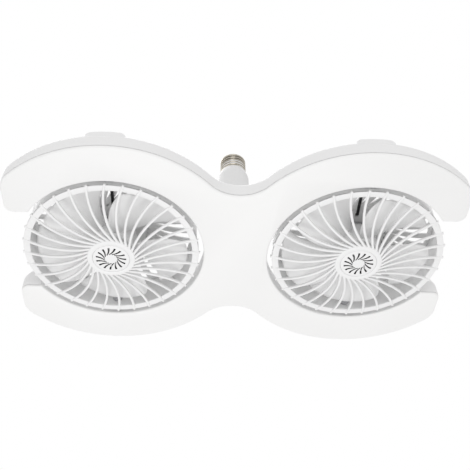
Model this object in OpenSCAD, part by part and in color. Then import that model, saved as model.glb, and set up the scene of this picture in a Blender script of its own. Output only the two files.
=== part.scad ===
// Twin-head fan light: an hourglass lamp body with two tilting fan heads and an E27 lamp cap.
// Lengths are in millimetres. The origin is on the cap's axis, at the lower edge of the screw shell.
// +Z points up into the lamp holder, X runs from head to head, -Y is the near side.

/* [Body] */
// Radius of the round opening that each head sits in
opening_r = 86.2; // [84.5:0.1:92]
// Width of the body between the two openings
web_w = 57.2; // [50:0.2:62]
// Width of the arms that reach round each head
arm_w = 35.8; // [31:0.2:37]
// Width of the body across its waist
waist_w = 144; // [132:1:156]
// How far the arms' ends stand out past the opening's radius
tip_out = 4.5; // [2:0.1:6]
// Clear width between the ends of a pair of arms
mouth_w = 95; // [86:1:104]
// Radius of the large corner at an arm's end
tip_r = 22; // [18:0.5:24]
// Radius of the small corner at an arm's end
tip_small_r = 8; // [7:0.5:10]
// Height of the straight side wall
wall_h = 13; // [12:0.5:15]
// Height and radius of the rounded shoulder above the side wall
shoulder_r = 7; // [6:0.5:8]
// Wall thickness of the housing
wall = 2; // [1.6:0.1:2.4]

/* [Diffuser] */
// Thickness of the opal diffuser
diffuser_t = 1.8; // [1.4:0.1:2.2]
// Height of the diffuser's upstand inside the housing
diffuser_h = 5; // [4:0.25:5.5]
// Radius of the diffuser's outer edge
diffuser_edge_r = 1.6; // [1:0.1:2.4]
// How far the diffuser stands below the housing's rim
diffuser_drop = 0.8; // [0.4:0.1:1.2]

/* [Lamp boards] */
// Height of the lamp boards above the face
board_z = 6; // [5.8:0.1:6.2]
// Thickness of the lamp boards
board_t = 1.2; // [1:0.1:1.6]
// Width of the C-shaped lamp boards
board_w = 17; // [15:0.5:19]
// Half of the angle that a lamp board is open towards the arm ends
board_gap_angle = 50; // [46:1:60]
// Number of lamp chips along one board
chip_count = 30; // [20:1:36]
// Length of a lamp chip
chip_l = 3.5; // [2.5:0.1:4.5]
// Height of a lamp chip
chip_h = 0.8; // [0.6:0.1:1]

/* [Neck and cap] */
// Height of the neck from the body's back to the screw shell
neck_h = 99.5; // [85:0.5:115]
// Radius of the turret on the body's back
turret_r = 25.2; // [24:0.1:27]
// Height of the turret
turret_h = 27; // [22:0.5:34]
// Radius of the stem
stem_r = 15.8; // [14.5:0.1:16.5]
// Radius of the screw shell over its thread crests
cap_r = 13.2; // [13:0.05:13.3]
// Length of the screw shell's cylinder
cap_len = 19; // [18:0.25:20]
// Thickness of the shell's metal
cap_t = 0.5; // [0.4:0.05:0.6]

/* [Head] */
// Gap between a head's rim and the opening round it
head_gap = 5.8; // [5:0.1:8]
// Number of ribs in the front guard
rib_count = 32; // [24:1:34]
// Width of a guard rib
rib_w = 2.5; // [1.8:0.1:2.7]
// Depth of a guard rib
rib_t = 3; // [2.4:0.1:3.4]
// Radius that the ribs are bent to, seen from below
rib_bend_r = 90; // [80:1:110]
// Angle that a rib sweeps through from the rim to the hub ring
rib_sweep = 23; // [18:1:27]
// Angle of the first rib where it meets the rim
rib_phase = 10.3; // [0:0.1:11.2]
// Width of the guard's flat rim
rim_w = 6; // [5:0.1:7]
// How far the ribs reach past the rim
rib_overhang = 1.4; // [0.8:0.1:1.8]
// How far the ribs stand out in front of the rim
rib_proud = 1.6; // [1.2:0.1:1.8]
// How far the guard's middle stands below its rim
dome_h = 6.4; // [3.5:0.1:7.5]
// Radius of the guard's hub ring
hub_ring_r = 22; // [20:0.5:24]
// Radius of the badge disc inside the hub ring
badge_r = 17; // [15.5:0.25:18]
// Number of slots in the badge
slot_count = 15; // [12:1:18]
// Height of the head's side wall
ring_h = 29; // [27:0.5:32]
// Number of slats in the rear guard
slat_count = 34; // [20:1:36]
// Thickness of the rear guard
rear_t = 2.5; // [2:0.1:3]
// Radius of the plate that carries the motor
plate_r = 30; // [26:0.5:32]

/* [Impeller and motor] */
// Number of blades
blade_count = 5; // [4:1:7]
// Gap between the blade tips and the screw posts in the head
blade_gap = 1.65; // [1.2:0.05:5]
// Thickness of a blade
blade_t = 1.6; // [1.2:0.1:2]
// Angle that a blade covers at its tip
blade_span = 66; // [50:1:69]
// Height that a blade climbs from its leading to its trailing edge
blade_rise = 15; // [11:0.5:17]
// Outer radius of the impeller's hub
rotor_hub_r = 21; // [20:0.25:22.5]
// Radius of the motor's case
motor_r = 17; // [15:0.25:17.5]
// Radius of the motor's shaft
shaft_r = 1.5; // [1.25:0.05:2]

/* [Pivots] */
// Height of the tilt axis above the body's face
pivot_z = 13; // [12.5:0.1:13.5]
// Radius of the pivot pins
pin_r = 3; // [2.5:0.1:3.4]
// Radius of the pivot bushes
bush_r = 4.95; // [4.5:0.05:4.95]
// Width of a pivot cover
cover_w = 34; // [30:0.5:38]
// Height that the pivot covers stand above the body's back
cover_rise = 3.5; // [3:0.25:5]

/* [Hidden] */
$fn = 96;

// Signs that pick a head or a side
LEFT = -1;
RIGHT = 1;
NEAR = -1;
FAR = 1;

// Clearances
cut = 1;              // how far a cutter runs past what it cuts
seat_gap = 0.3;       // between pieces that only rest near each other
nest_gap = 0.15;      // between moulded pieces that nest
turn_gap = 0.05;      // radial, between a pin or shaft and its bush
press_gap = 0.02;     // radial, between a pin or shaft and what grips it

// Body levels and outline
half_pitch = opening_r + web_w / 2;
tip_reach = opening_r + tip_out;
half_waist = waist_w / 2;
lobe_r = opening_r + arm_w;
body_h = wall_h + shoulder_r;
face_z = -(neck_h + body_h);
// The concave waist arc touches both lobes, which fixes its radius and centre
waist_r = (half_pitch * half_pitch + half_waist * half_waist - lobe_r * lobe_r)
    / (2 * (lobe_r - half_waist));
waist_y = half_waist + waist_r;
joint_step = 0.06;    // the waist is this much deeper, so its wall crosses the lobes cleanly
// The large tip corner pokes out of the lobe by this much, so the two arcs cross cleanly
tip_poke = 0.2;
tip_far = 60;
tip_x = tip_reach - tip_r;
tip_y = sqrt(pow(lobe_r + tip_poke - tip_r, 2) - tip_x * tip_x);
tip_angle = atan2(tip_y, tip_x);

// Lamp boards and their posts
board_mid_r = opening_r + arm_w / 2;
post_r = 3;
screw_r = 1.4;
screw_hole_r = 1.6;
screw_grip = 6;
board_screw_grip = 4;
driver_screw_grip = 2.5;
motor_screw_grip = 2;
screw_head_r = 2.6;
screw_head_h = 1.2;
board_post_angles = [62, 118, 150, 210, 242, 298];
board_gap = 0.5;      // from a lamp board to the body's middle
chip_edge = 1.2;      // from a chip to its board's outer edge
chip_end_angle = 5;   // from a board's end to its first chip

// Driver board and its parts
driver_l = 88;
driver_side_gap = 4.4;
driver_w = web_w - 2 * wall - 2 * driver_side_gap;
driver_z = body_h - wall - 4.6;
driver_t = 1.6;
driver_post = [driver_w / 2 - 6, driver_l / 2 - 8];
lamp_lead_at = [driver_post[1] - 5, driver_post[1] - 9];
transformer = [18, 16, 18];
winding_r = 6;
capacitor_r = 5;
capacitor_at = [7, -10];
tall_part_h = 20;     // height of the capacitors and of the winding
lead_r = 0.9;
mains_lead_at = [1.3, -4.5];

// Neck
flange_r = turret_r + 3;
flange_t = 2.5;
turret_round = turret_r - stem_r;
collar_r = cap_r + 0.1;
collar_h = 9;
spigot_h = 12;
spigot_r = cap_r - cap_t - nest_gap;
lead_hole_r = turret_r - wall - 6;
neck_screw_r = turret_r - wall - 3;
cap_top_h = 3.5;
cap_top_r = 9.5;
insulator_h = 2.6;
insulator_plug = 1.5;  // depth of the insulator inside the shell
insulator_r = 5.6;
contact_r = 4.8;
contact_h = 1.8;

// Pivots
block_w = 16;
block_depth = 10;
block_out = opening_r + block_depth;
block_low = pivot_z - bush_r - 0.4;
block_top = pivot_z + bush_r + 1.2;
flange_bush_r = bush_r + 1.6;
flange_bush_t = 1.1;
bush_face_y = sqrt(opening_r * opening_r - flange_bush_r * flange_bush_r) - press_gap;
bush_in_y = bush_face_y - flange_bush_t;
boss_r = 7;
nut_r = 5;
nut_t = 4;
washer_t = 1.2;
washer_r = 5;
pin_end_y = block_out + seat_gap + washer_t + nut_t + 1.5;
cover_round = 5;
cover_wall = 1.8;
cover_top = body_h + cover_rise;
cover_face_y = lobe_r + 0.2;
apron_w = cover_w - 2;
apron_t = 1.2;
apron_z = 2.6;

// Head
guard_r = opening_r - head_gap;
rim_in_r = guard_r - rim_w;
dome_rim_z = -1;      // height of the ribs' faces at the rim's inner edge
rim_z = dome_rim_z + rib_proud;
rim_t = 2.2;
skirt_t = 2;
skirt_h = 5;
ring_r = guard_r - skirt_t - nest_gap;
ring_wall = 1.8;
ring_z = rim_z + rim_t + seat_gap;
ring_top = ring_z + ring_h;
hub_z = dome_rim_z - dome_h;
// Radius of the sphere that the guard's face follows
dome_r = (rim_in_r * rim_in_r - hub_ring_r * hub_ring_r) / (2 * dome_h);
dome_centre_z = hub_z + sqrt(dome_r * dome_r - hub_ring_r * hub_ring_r);
hub_front_z = hub_z - 0.6;
hub_ring_t = 4;
badge_t = 1.6;
badge_ledge_r = 15.3; // the hub ring's ledge behind the badge reaches in to here
slot_in_r = 7;
slot_out_r = 13.8;
slot_w = 1.5;
slot_bend_r = 24;
slot_sweep = -17;
pin_head_t = 2.2;
pin_start_y = ring_r - ring_wall - seat_gap - pin_head_t;
screw_post_r = 2.6;
screw_post_h = 14;
screw_post_at = ring_r - ring_wall - screw_post_r + 0.4;
screw_hole_h = screw_grip + 2;
rear_z = ring_top;
rear_rim_w = 5.5;
slat_w = 3;
slat_bend_r = 70;
slat_sweep = -26;

// Motor and impeller
blade_tip_r = screw_post_at - screw_post_r - blade_gap;
motor_top = rear_z - 0.05;
motor_h = 16;
motor_screw_hole_h = motor_screw_grip + 1;
motor_z = motor_top - motor_h;
case_t = 1;
bearing_r = 4;
bearing_h = 3;
bearing_seat_h = bearing_h + 1;
bearing_play = 0.2;
stator_play = 0.1;
winding_gap_r = 2.2;  // the gaps between the stator's windings
winding_gap_out = 3.5;
magnet_r = 6.5;
stator_in_r = magnet_r + 0.8;
hub_wall = 1.6;
hub_low = 2.2;
hub_floor = 2;
hub_boss_r = shaft_r + 2.5;
shaft_seat = 1.2;     // from the hub's lower face to the shaft's end
shaft_end_gap = 0.4;
magnet_play = 0.6;
hub_overlap = 9;      // how far the hub reaches up round the motor
hub_top = motor_z + hub_overlap;
hub_bore_r = shaft_r + press_gap;
blade_root_r = rotor_hub_r - 0.8;
blade_low = 4;
lead_w = 3;
lead_t = 2;
lead_z = rear_z - lead_t - 0.1;
lead_slot_y = 3 - plate_r;
lead_end_y = -5;

housing_grey = [0.90, 0.90, 0.90];
opal_white = [0.97, 0.97, 0.96];
guard_white = [0.95, 0.95, 0.95];
blade_grey = [0.80, 0.80, 0.81];
steel = [0.72, 0.72, 0.74];
dark = [0.12, 0.12, 0.12];
board_green = [0.10, 0.36, 0.20];
chip_yellow = [0.95, 0.86, 0.35];
copper = [0.72, 0.42, 0.20];
cap_metal = [0.78, 0.74, 0.66];

// ---- Placing ----

// From the body's own heights, counted up from its face, to the cap's origin
module body_frame() { translate([0, 0, face_z]) children(); }

module at_head(side) { body_frame() translate([side * half_pitch, 0, 0]) children(); }

// A child drawn along +Z is turned to run out along the pivot, away from the head's centre
module along_pivot(end) {
    translate([0, 0, pivot_z]) rotate([-90 * end, 0, 0]) children();
}

// Centre of an arc of radius r through two points, on the left of the way from a to b
function arc_centre(a, b, r) =
    let (m = (a + b) / 2, v = b - a, d = norm(v), h = sqrt(r * r - d * d / 4))
    m + h / d * [-v[1], v[0]];

function polar(r, angle) = [r * cos(angle), r * sin(angle)];

// ---- Body outline ----

// What is cut off the right-hand lobe to leave the ends of its arms
module tip_cuts(inset) {
    translate([0, -mouth_w / 2 - inset]) square([lobe_r + cut, mouth_w + 2 * inset]);
    translate([tip_reach - inset, -lobe_r]) square([tip_far, 2 * lobe_r]);
    for (end = [NEAR, FAR]) scale([1, end]) {
        difference() {
            polygon([
                [tip_x, tip_y],
                [tip_x, tip_y] + polar(tip_far, tip_angle),
                [tip_x + tip_far, tip_y]
            ]);
            translate([tip_x, tip_y]) circle(r = tip_r - inset);
        }
        difference() {
            translate([tip_reach - tip_small_r, mouth_w / 2]) square([tip_small_r, tip_small_r]);
            translate([tip_reach - tip_small_r, mouth_w / 2 + tip_small_r])
                circle(r = tip_small_r - inset);
        }
    }
}

module between_lobes() {
    polygon([[half_pitch, 0], [0, waist_y], [-half_pitch, 0], [0, -waist_y]]);
}

// The hourglass, drawn inside the body's outline by inset
module outline(inset) {
    difference() {
        union() {
            for (side = [LEFT, RIGHT]) translate([side * half_pitch, 0])
                circle(r = lobe_r - inset);
            difference() {
                between_lobes();
                for (end = [NEAR, FAR]) translate([0, end * waist_y])
                    circle(r = waist_r + inset);
            }
        }
        for (side = [LEFT, RIGHT]) translate([side * half_pitch, 0]) {
            circle(r = opening_r + inset);
            scale([side, 1]) tip_cuts(inset);
        }
    }
}

// Section of the room around an edge that is rounded by r. The edge is at the origin and the
// body lies towards +X and -Y of it. The arc is a little flatter than a full quarter, so it
// meets the wall and the top at a slight angle.
module edge_section(r) {
    flat_r = 1.2 * r;
    past = r / 10;
    difference() {
        translate([-2 * cut, -past]) square([2 * cut + r + past, r + past + cut]);
        translate(arc_centre([r, r], [0, 0], flat_r)) circle(r = flat_r);
    }
}

// Section of the room outside a wall that stands at x = r and is rounded at both ends.
// The body lies towards -X (way = -1) or +X (way = 1) of the wall.
module wall_ends(r, way, z0, z1, low_r, high_r) {
    if (low_r > 0) translate([r, z0 + low_r]) scale([way, -1]) edge_section(low_r);
    if (high_r > 0) translate([r, z1 - high_r]) scale([way, 1]) edge_section(high_r);
}

// The hourglass from height z0 to z1, its outer edge rounded by low_r and high_r
module hourglass(inset, z0, z1, low_r, high_r) {
    difference() {
        union() {
            for (side = [LEFT, RIGHT]) translate([side * half_pitch, 0, 0]) rotate_extrude()
                difference() {
                    translate([0, z0]) square([lobe_r - inset, z1 - z0]);
                    wall_ends(lobe_r - inset, -1, z0, z1, low_r, high_r);
                }
            difference() {
                translate([0, 0, z0]) linear_extrude(z1 - z0) between_lobes();
                for (end = [NEAR, FAR]) translate([0, end * waist_y, 0]) rotate_extrude() {
                    translate([0, z0 - cut]) square([waist_r + joint_step + inset, z1 - z0 + 2 * cut]);
                    wall_ends(waist_r + joint_step + inset, 1, z0, z1, low_r, high_r);
                }
            }
        }
        for (turn = [0, 180]) rotate([0, 0, turn]) translate([half_pitch, 0, 0]) {
            translate([0, 0, z0 - cut]) linear_extrude(z1 - z0 + 2 * cut) {
                circle(r = opening_r + inset);
                tip_cuts(inset);
            }
            // The large corners and the flat ends of the arms are rounded too
            for (end = [NEAR, FAR]) scale([1, end, 1]) {
                translate([tip_x, tip_y, 0]) rotate_extrude(angle = tip_angle)
                    wall_ends(tip_r - inset, -1, z0, z1, low_r, high_r);
                translate([tip_reach - inset, tip_y, 0]) rotate([90, 0, 0])
                    linear_extrude(tip_y - mouth_w / 2 + cut)
                        wall_ends(0, -1, z0, z1, low_r, high_r);
            }
        }
    }
}

// ---- Body ----

module for_each_pivot() {
    for (side = [LEFT, RIGHT]) for (end = [NEAR, FAR])
        translate([side * half_pitch, 0, 0]) scale([1, end, 1]) children();
}

// Room for a pivot cover in the arm, drawn on the far side of a head
module cover_notch(gap) {
    difference() {
        union() {
            translate([-cover_w / 2 - gap, opening_r - wall, wall_h])
                cube([cover_w + 2 * gap, arm_w + 2 * wall, body_h]);
            translate([-apron_w / 2 - gap, cover_face_y - apron_t - gap, apron_z - gap])
                cube([apron_w + 2 * gap, arm_w, body_h]);
        }
        translate([0, 0, -cut]) cylinder(r = opening_r + wall + nest_gap - gap, h = 3 * body_h);
    }
}

module pivot_block() {
    difference() {
        translate([-block_w / 2, opening_r + wall / 2, block_low])
            cube([block_w, block_out - opening_r - wall / 2, block_top - block_low]);
        translate([0, 0, -cut]) cylinder(r = opening_r + wall / 2, h = 3 * body_h);
    }
}

module board_posts() {
    for (side = [LEFT, RIGHT], angle = board_post_angles)
        translate([side * half_pitch, 0, 0]) scale([side, 1, 1]) rotate([0, 0, angle])
            translate([board_mid_r, 0, board_z + board_t]) difference() {
                cylinder(r = post_r, h = body_h - wall / 2 - board_z - board_t);
                translate([0, 0, -cut]) cylinder(r = screw_r, h = board_screw_grip + 2 + cut);
            }
}

module for_each_driver_post() {
    for (x = [-driver_post[0], driver_post[0]], y = [-driver_post[1], driver_post[1]])
        translate([x, y, 0]) children();
}

module driver_posts() {
    for_each_driver_post() translate([0, 0, driver_z + driver_t]) difference() {
        cylinder(r = post_r, h = body_h - wall / 2 - driver_z - driver_t);
        translate([0, 0, -cut]) cylinder(r = screw_r, h = driver_screw_grip + 0.5 + cut);
    }
}

module for_each_neck_screw() {
    for (angle = [45 : 90 : 315]) rotate([0, 0, angle]) translate([neck_screw_r, 0]) children();
}

module back_housing() {
    color(housing_grey) body_frame() difference() {
        union() {
            difference() {
                hourglass(0, diffuser_drop, body_h, 0, shoulder_r);
                linear_extrude(wall_h) outline(wall);
                linear_extrude(body_h - wall) outline(wall + shoulder_r / 2);
                for_each_pivot() cover_notch(nest_gap);
                translate([0, 0, body_h - wall - cut]) cylinder(r = lead_hole_r, h = wall + 2 * cut);
            }
            for_each_pivot() pivot_block();
            board_posts();
            driver_posts();
        }
        for_each_pivot() translate([0, opening_r - wall, pivot_z]) rotate([-90, 0, 0])
            cylinder(r = bush_r + turn_gap, h = arm_w);
        for_each_neck_screw() translate([0, 0, body_h - wall - cut])
            cylinder(r = screw_hole_r, h = wall + 2 * cut);
    }
}

module light_diffuser() {
    out = wall + nest_gap;
    color(opal_white) body_frame() difference() {
        hourglass(out, 0, diffuser_h, diffuser_edge_r, 0);
        translate([0, 0, diffuser_t]) linear_extrude(diffuser_h) outline(out + diffuser_t);
    }
}

module board_shape() {
    difference() {
        circle(r = board_mid_r + board_w / 2);
        circle(r = board_mid_r - board_w / 2);
        polygon([
            [0, 0],
            polar(2 * lobe_r, -board_gap_angle),
            [3 * lobe_r, 0],
            polar(2 * lobe_r, board_gap_angle)
        ]);
        for (angle = board_post_angles) rotate([0, 0, angle])
            translate([board_mid_r, 0]) circle(r = screw_hole_r);
    }
}

// The two boards come closest at the waist, so each is trimmed there
module led_board(side) {
    color(opal_white) body_frame() translate([0, 0, board_z]) linear_extrude(board_t)
        scale([side, 1]) difference() {
            translate([half_pitch, 0]) board_shape();
            translate([board_gap - lobe_r, -lobe_r]) square([lobe_r, 2 * lobe_r]);
        }
}

module led_chips() {
    first = board_gap_angle + chip_end_angle;
    step = (360 - 2 * first) / (chip_count - 1);
    chip_in_r = board_mid_r + board_w / 2 - chip_l - chip_edge;
    color(chip_yellow) body_frame()
        for (side = [LEFT, RIGHT], i = [0 : chip_count - 1])
            translate([side * half_pitch, 0, board_z - chip_h]) scale([side, 1, 1])
                rotate([0, 0, first + i * step]) translate([chip_in_r, -chip_l / 2, 0])
                    cube([chip_l, chip_l, chip_h]);
}

// A screw that points up, with its head's upper face at the origin
module screw(length) {
    translate([0, 0, -screw_head_h]) cylinder(r = screw_head_r, h = screw_head_h);
    translate([0, 0, -screw_head_h / 2])
        cylinder(r = screw_r - turn_gap, h = length + screw_head_h / 2);
}

module board_screws() {
    color(steel) body_frame() {
        for (side = [LEFT, RIGHT], angle = board_post_angles)
            translate([side * half_pitch, 0, board_z]) scale([side, 1, 1]) rotate([0, 0, angle])
                translate([board_mid_r, 0, 0]) screw(board_t + board_screw_grip);
        for_each_driver_post() translate([0, 0, driver_z]) screw(driver_t + driver_screw_grip);
    }
}

module driver_board() {
    color(board_green) body_frame() difference() {
        translate([-driver_w / 2, -driver_l / 2, driver_z]) cube([driver_w, driver_l, driver_t]);
        for_each_driver_post() translate([0, 0, driver_z - cut])
            cylinder(r = screw_hole_r, h = driver_t + 2 * cut);
    }
}

module driver_transformer() {
    color(chip_yellow) body_frame() translate([0, winding_r, driver_z + driver_t]) {
        translate([-transformer[0] / 2, -transformer[1] / 2, 0]) cube(transformer);
        cylinder(r = winding_r, h = tall_part_h);
    }
}

module driver_capacitors() {
    color(dark) body_frame() for (s = [LEFT, RIGHT])
        translate([s * capacitor_at[0], capacitor_at[1], driver_z + driver_t])
            cylinder(r = capacitor_r, h = tall_part_h);
}

// Profile of the neck, drawn inside its outer surface by inset, from height z0 upwards
module neck_profile(inset, z0) {
    low = body_h;
    round_z = low + turret_h - turret_round;
    translate([0, z0]) square([turret_r - inset, round_z - z0]);
    intersection() {
        translate([stem_r, round_z]) circle(r = turret_round - inset);
        translate([stem_r, round_z - cut]) square([turret_r, turret_r]);
    }
    translate([0, z0]) square([stem_r - inset, low + neck_h - collar_h - z0]);
    polygon([
        [0, low + neck_h - collar_h - cut],
        [stem_r - inset, low + neck_h - collar_h - cut],
        [stem_r - inset, low + neck_h - collar_h],
        [collar_r - inset, low + neck_h - (inset > 0 ? wall : 0)],
        [0, low + neck_h - (inset > 0 ? wall : 0)]
    ]);
}

module neck_housing() {
    color(housing_grey) body_frame() difference() {
        rotate_extrude() {
            neck_profile(0, body_h);
            translate([0, body_h]) square([flange_r, flange_t]);
            translate([0, body_h + neck_h - cut]) square([spigot_r, spigot_h + cut]);
        }
        rotate_extrude() {
            neck_profile(wall, body_h + flange_t);
            translate([0, body_h - cut]) square([lead_hole_r, flange_t + 2 * cut]);
            square([spigot_r - wall, body_h + neck_h + spigot_h + cut]);
        }
        for_each_neck_screw() translate([0, 0, body_h - cut])
            cylinder(r = screw_r, h = flange_t + 2 * cut);
    }
}

module neck_screws() {
    color(steel) body_frame() for_each_neck_screw() translate([0, 0, body_h - wall])
        screw(wall + flange_t);
}

module screw_shell() {
    color(cap_metal) rotate_extrude() polygon([
        [cap_r - cap_t, 0], [cap_r, 0], [cap_r, cap_len], [cap_top_r, cap_len + cap_top_h],
        [cap_top_r - cap_t, cap_len + cap_top_h], [cap_r - cap_t, cap_len - cap_t / 2]
    ]);
}

module cap_insulator() {
    low = cap_len + cap_top_h;
    color(dark) rotate_extrude() polygon([
        [0, low - insulator_plug], [cap_top_r - cap_t - nest_gap, low - insulator_plug],
        [cap_top_r - cap_t - nest_gap, low], [cap_top_r - 0.2, low],
        [insulator_r, low + insulator_h], [0, low + insulator_h]
    ]);
}

module centre_contact() {
    low = cap_len + cap_top_h + insulator_h;
    color(cap_metal) rotate_extrude() polygon([
        [0, low], [contact_r, low], [contact_r, low + contact_h / 2],
        [contact_r - 1.4, low + contact_h], [0, low + contact_h]
    ]);
}

module mains_leads() {
    low = face_z + driver_z + driver_t;
    color(dark) for (s = [LEFT, RIGHT])
        translate([s * mains_lead_at[0], mains_lead_at[1], low])
            cylinder(r = lead_r, h = cap_len + cap_top_h - insulator_plug - low);
}

module lamp_leads() {
    color(dark) body_frame() for (side = [LEFT, RIGHT], y = lamp_lead_at)
        translate([side * (half_pitch - board_mid_r), y * side, board_z + board_t])
            cylinder(r = lead_r, h = driver_z - board_z - board_t);
}

// Front view of a pivot cover's body, its height along Y
module cover_front() {
    difference() {
        translate([-cover_w / 2, wall_h + nest_gap])
            square([cover_w, cover_top - wall_h - nest_gap]);
        for (s = [LEFT, RIGHT]) scale([s, 1])
            translate([cover_w / 2 - cover_round, cover_top - cover_round]) difference() {
                square(cover_round + cut);
                circle(r = cover_round);
            }
    }
}

module pivot_cover() {
    inner_r = opening_r + wall + nest_gap;
    difference() {
        union() {
            translate([0, cover_face_y, 0]) rotate([90, 0, 0])
                linear_extrude(cover_face_y - opening_r + arm_w / 2) cover_front();
            translate([-apron_w / 2, cover_face_y - apron_t, apron_z])
                cube([apron_w, apron_t, wall_h]);
        }
        translate([0, 0, -cut]) cylinder(r = inner_r, h = 3 * cover_top);
        difference() {
            translate([-cover_w / 2 + cover_wall, opening_r, wall_h - cut])
                cube([cover_w - 2 * cover_wall, cover_face_y - opening_r - cover_wall,
                    cover_top - cover_wall - wall_h + cut]);
            cylinder(r = inner_r + cover_wall, h = 3 * cover_top);
        }
        // The pivot block reaches in through the cover's inner wall
        translate([-block_w / 2 - seat_gap, opening_r, wall_h - cut])
            cube([block_w + 2 * seat_gap, block_out - opening_r, block_top + seat_gap - wall_h + cut]);
    }
}

module placed_cover(side, end) {
    color(housing_grey) at_head(side) scale([1, end, 1]) pivot_cover();
}

module pivot_bushes() {
    color(dark) body_frame() for_each_pivot() translate([0, bush_in_y, pivot_z])
        rotate([-90, 0, 0]) difference() {
            union() {
                cylinder(r = flange_bush_r, h = flange_bush_t);
                cylinder(r = bush_r, h = block_out - bush_in_y);
            }
            translate([0, 0, -cut]) cylinder(r = pin_r + turn_gap, h = arm_w);
        }
}

// ---- Head ----

// A band bent to an arc, from polar point a to polar point b, cut off by the circles at both ends
module swirl_band(r_in, r_out, sweep, bend_r, width) {
    a = polar(r_out, 0);
    b = polar(r_in, sweep);
    centre = sweep > 0 ? arc_centre(b, a, bend_r) : arc_centre(a, b, bend_r);
    away = atan2(centre[1], centre[0]);
    far_side = sweep > 0 ? -2 * r_out : 0;
    intersection() {
        difference() {
            circle(r = r_out);
            circle(r = r_in);
        }
        translate(centre) difference() {
            circle(r = bend_r + width / 2);
            circle(r = bend_r - width / 2);
        }
        rotate([0, 0, away]) translate([-r_out, far_side]) square([3 * r_out, 2 * r_out]);
    }
}

// The dome shell that the ribs are cut from
module dome_shell(depth) {
    rotate_extrude() intersection() {
        difference() {
            translate([0, dome_centre_z]) circle(r = dome_r);
            translate([0, dome_centre_z + depth]) circle(r = dome_r);
        }
        translate([0, hub_z - cut]) square([guard_r + rib_overhang, 3 * dome_h]);
    }
}

module front_guard() {
    color(guard_white) union() {
        intersection() {
            dome_shell(rib_t);
            translate([0, 0, hub_z - 2 * cut]) linear_extrude(3 * dome_h) {
                for (i = [0 : rib_count - 1]) rotate([0, 0, rib_phase + i * 360 / rib_count])
                    swirl_band(hub_ring_r - 1.5, guard_r + rib_overhang, rib_sweep, rib_bend_r,
                        rib_w);
            }
        }
        rotate_extrude() {
            translate([rim_in_r, rim_z]) square([rim_w, rim_t]);
            translate([guard_r - skirt_t, rim_z]) square([skirt_t, skirt_h]);
        }
        rotate_extrude() difference() {
            translate([0, hub_front_z]) square([hub_ring_r, hub_ring_t]);
            translate([0, hub_front_z - cut]) square([badge_r + nest_gap, badge_t + cut]);
            translate([0, hub_front_z - cut]) square([badge_ledge_r, hub_ring_t + 2 * cut]);
        }
    }
}

module hub_badge() {
    color(guard_white) translate([0, 0, hub_front_z]) linear_extrude(badge_t) difference() {
        circle(r = badge_r);
        for (i = [0 : slot_count - 1]) rotate([0, 0, i * 360 / slot_count])
            swirl_band(slot_in_r, slot_out_r, slot_sweep, slot_bend_r, slot_w);
    }
}

module ring_section() {
    difference() {
        circle(r = ring_r);
        circle(r = ring_r - ring_wall);
    }
}

module for_each_rear_screw() {
    for (angle = [45 : 90 : 315]) rotate([0, 0, angle]) translate([screw_post_at, 0]) children();
}

module head_ring() {
    color(guard_white) difference() {
        union() {
            translate([0, 0, ring_z]) linear_extrude(ring_h) ring_section();
            translate([0, 0, ring_top - screw_post_h]) linear_extrude(screw_post_h) {
                ring_section();
                for_each_rear_screw() circle(r = screw_post_r);
            }
            for (end = [NEAR, FAR]) difference() {
                along_pivot(end) translate([0, 0, ring_r - ring_wall / 2])
                    cylinder(r = boss_r, h = bush_in_y - seat_gap - ring_r + ring_wall / 2);
                cylinder(r = ring_r - ring_wall / 2, h = 3 * ring_h);
            }
        }
        for (end = [NEAR, FAR]) along_pivot(end) translate([0, 0, ring_r - ring_wall - 4 * cut])
            cylinder(r = pin_r + press_gap, h = arm_w);
        for_each_rear_screw() translate([0, 0, ring_top - screw_hole_h])
            cylinder(r = screw_r, h = screw_hole_h + cut);
    }
}

module rear_guard() {
    color(guard_white) translate([0, 0, rear_z]) difference() {
        linear_extrude(rear_t) {
            difference() {
                circle(r = ring_r);
                circle(r = ring_r - rear_rim_w);
            }
            circle(r = plate_r);
            for (i = [0 : slat_count - 1]) rotate([0, 0, i * 360 / slat_count])
                swirl_band(plate_r - 1, ring_r - 1, slat_sweep, slat_bend_r, slat_w);
        }
        for_each_rear_screw() translate([0, 0, -cut])
            cylinder(r = screw_hole_r, h = rear_t + 2 * cut);
        for_each_motor_screw() translate([0, 0, -cut])
            cylinder(r = screw_hole_r, h = rear_t + 2 * cut);
        for (y = [lead_slot_y, lead_end_y - lead_w])
            translate([-lead_w / 2 - seat_gap, y - seat_gap, -cut])
                cube([lead_w + 2 * seat_gap, lead_w + 2 * seat_gap, rear_t + 2 * cut]);
    }
}

module rear_screws() {
    color(steel) for_each_rear_screw() translate([0, 0, rear_z + rear_t]) mirror([0, 0, 1])
        screw(rear_t + screw_grip);
}

module for_each_motor_screw() {
    for (angle = [90 : 120 : 330]) rotate([0, 0, angle]) translate([motor_r - 5, 0]) children();
}

module motor_case() {
    color(steel) difference() {
        translate([0, 0, motor_z]) cylinder(r = motor_r, h = motor_h);
        translate([0, 0, motor_z + case_t + bearing_seat_h])
            cylinder(r = motor_r - case_t, h = motor_h - 2 * case_t - 2 * bearing_seat_h);
        translate([0, 0, motor_z + case_t]) cylinder(r = bearing_r + turn_gap, h = motor_h - 2 * case_t);
        translate([0, 0, motor_z - cut]) cylinder(r = shaft_r + 1, h = motor_h - cut);
        for_each_motor_screw() translate([0, 0, motor_top - motor_screw_hole_h])
            cylinder(r = screw_r, h = motor_screw_hole_h + cut);
    }
}

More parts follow.
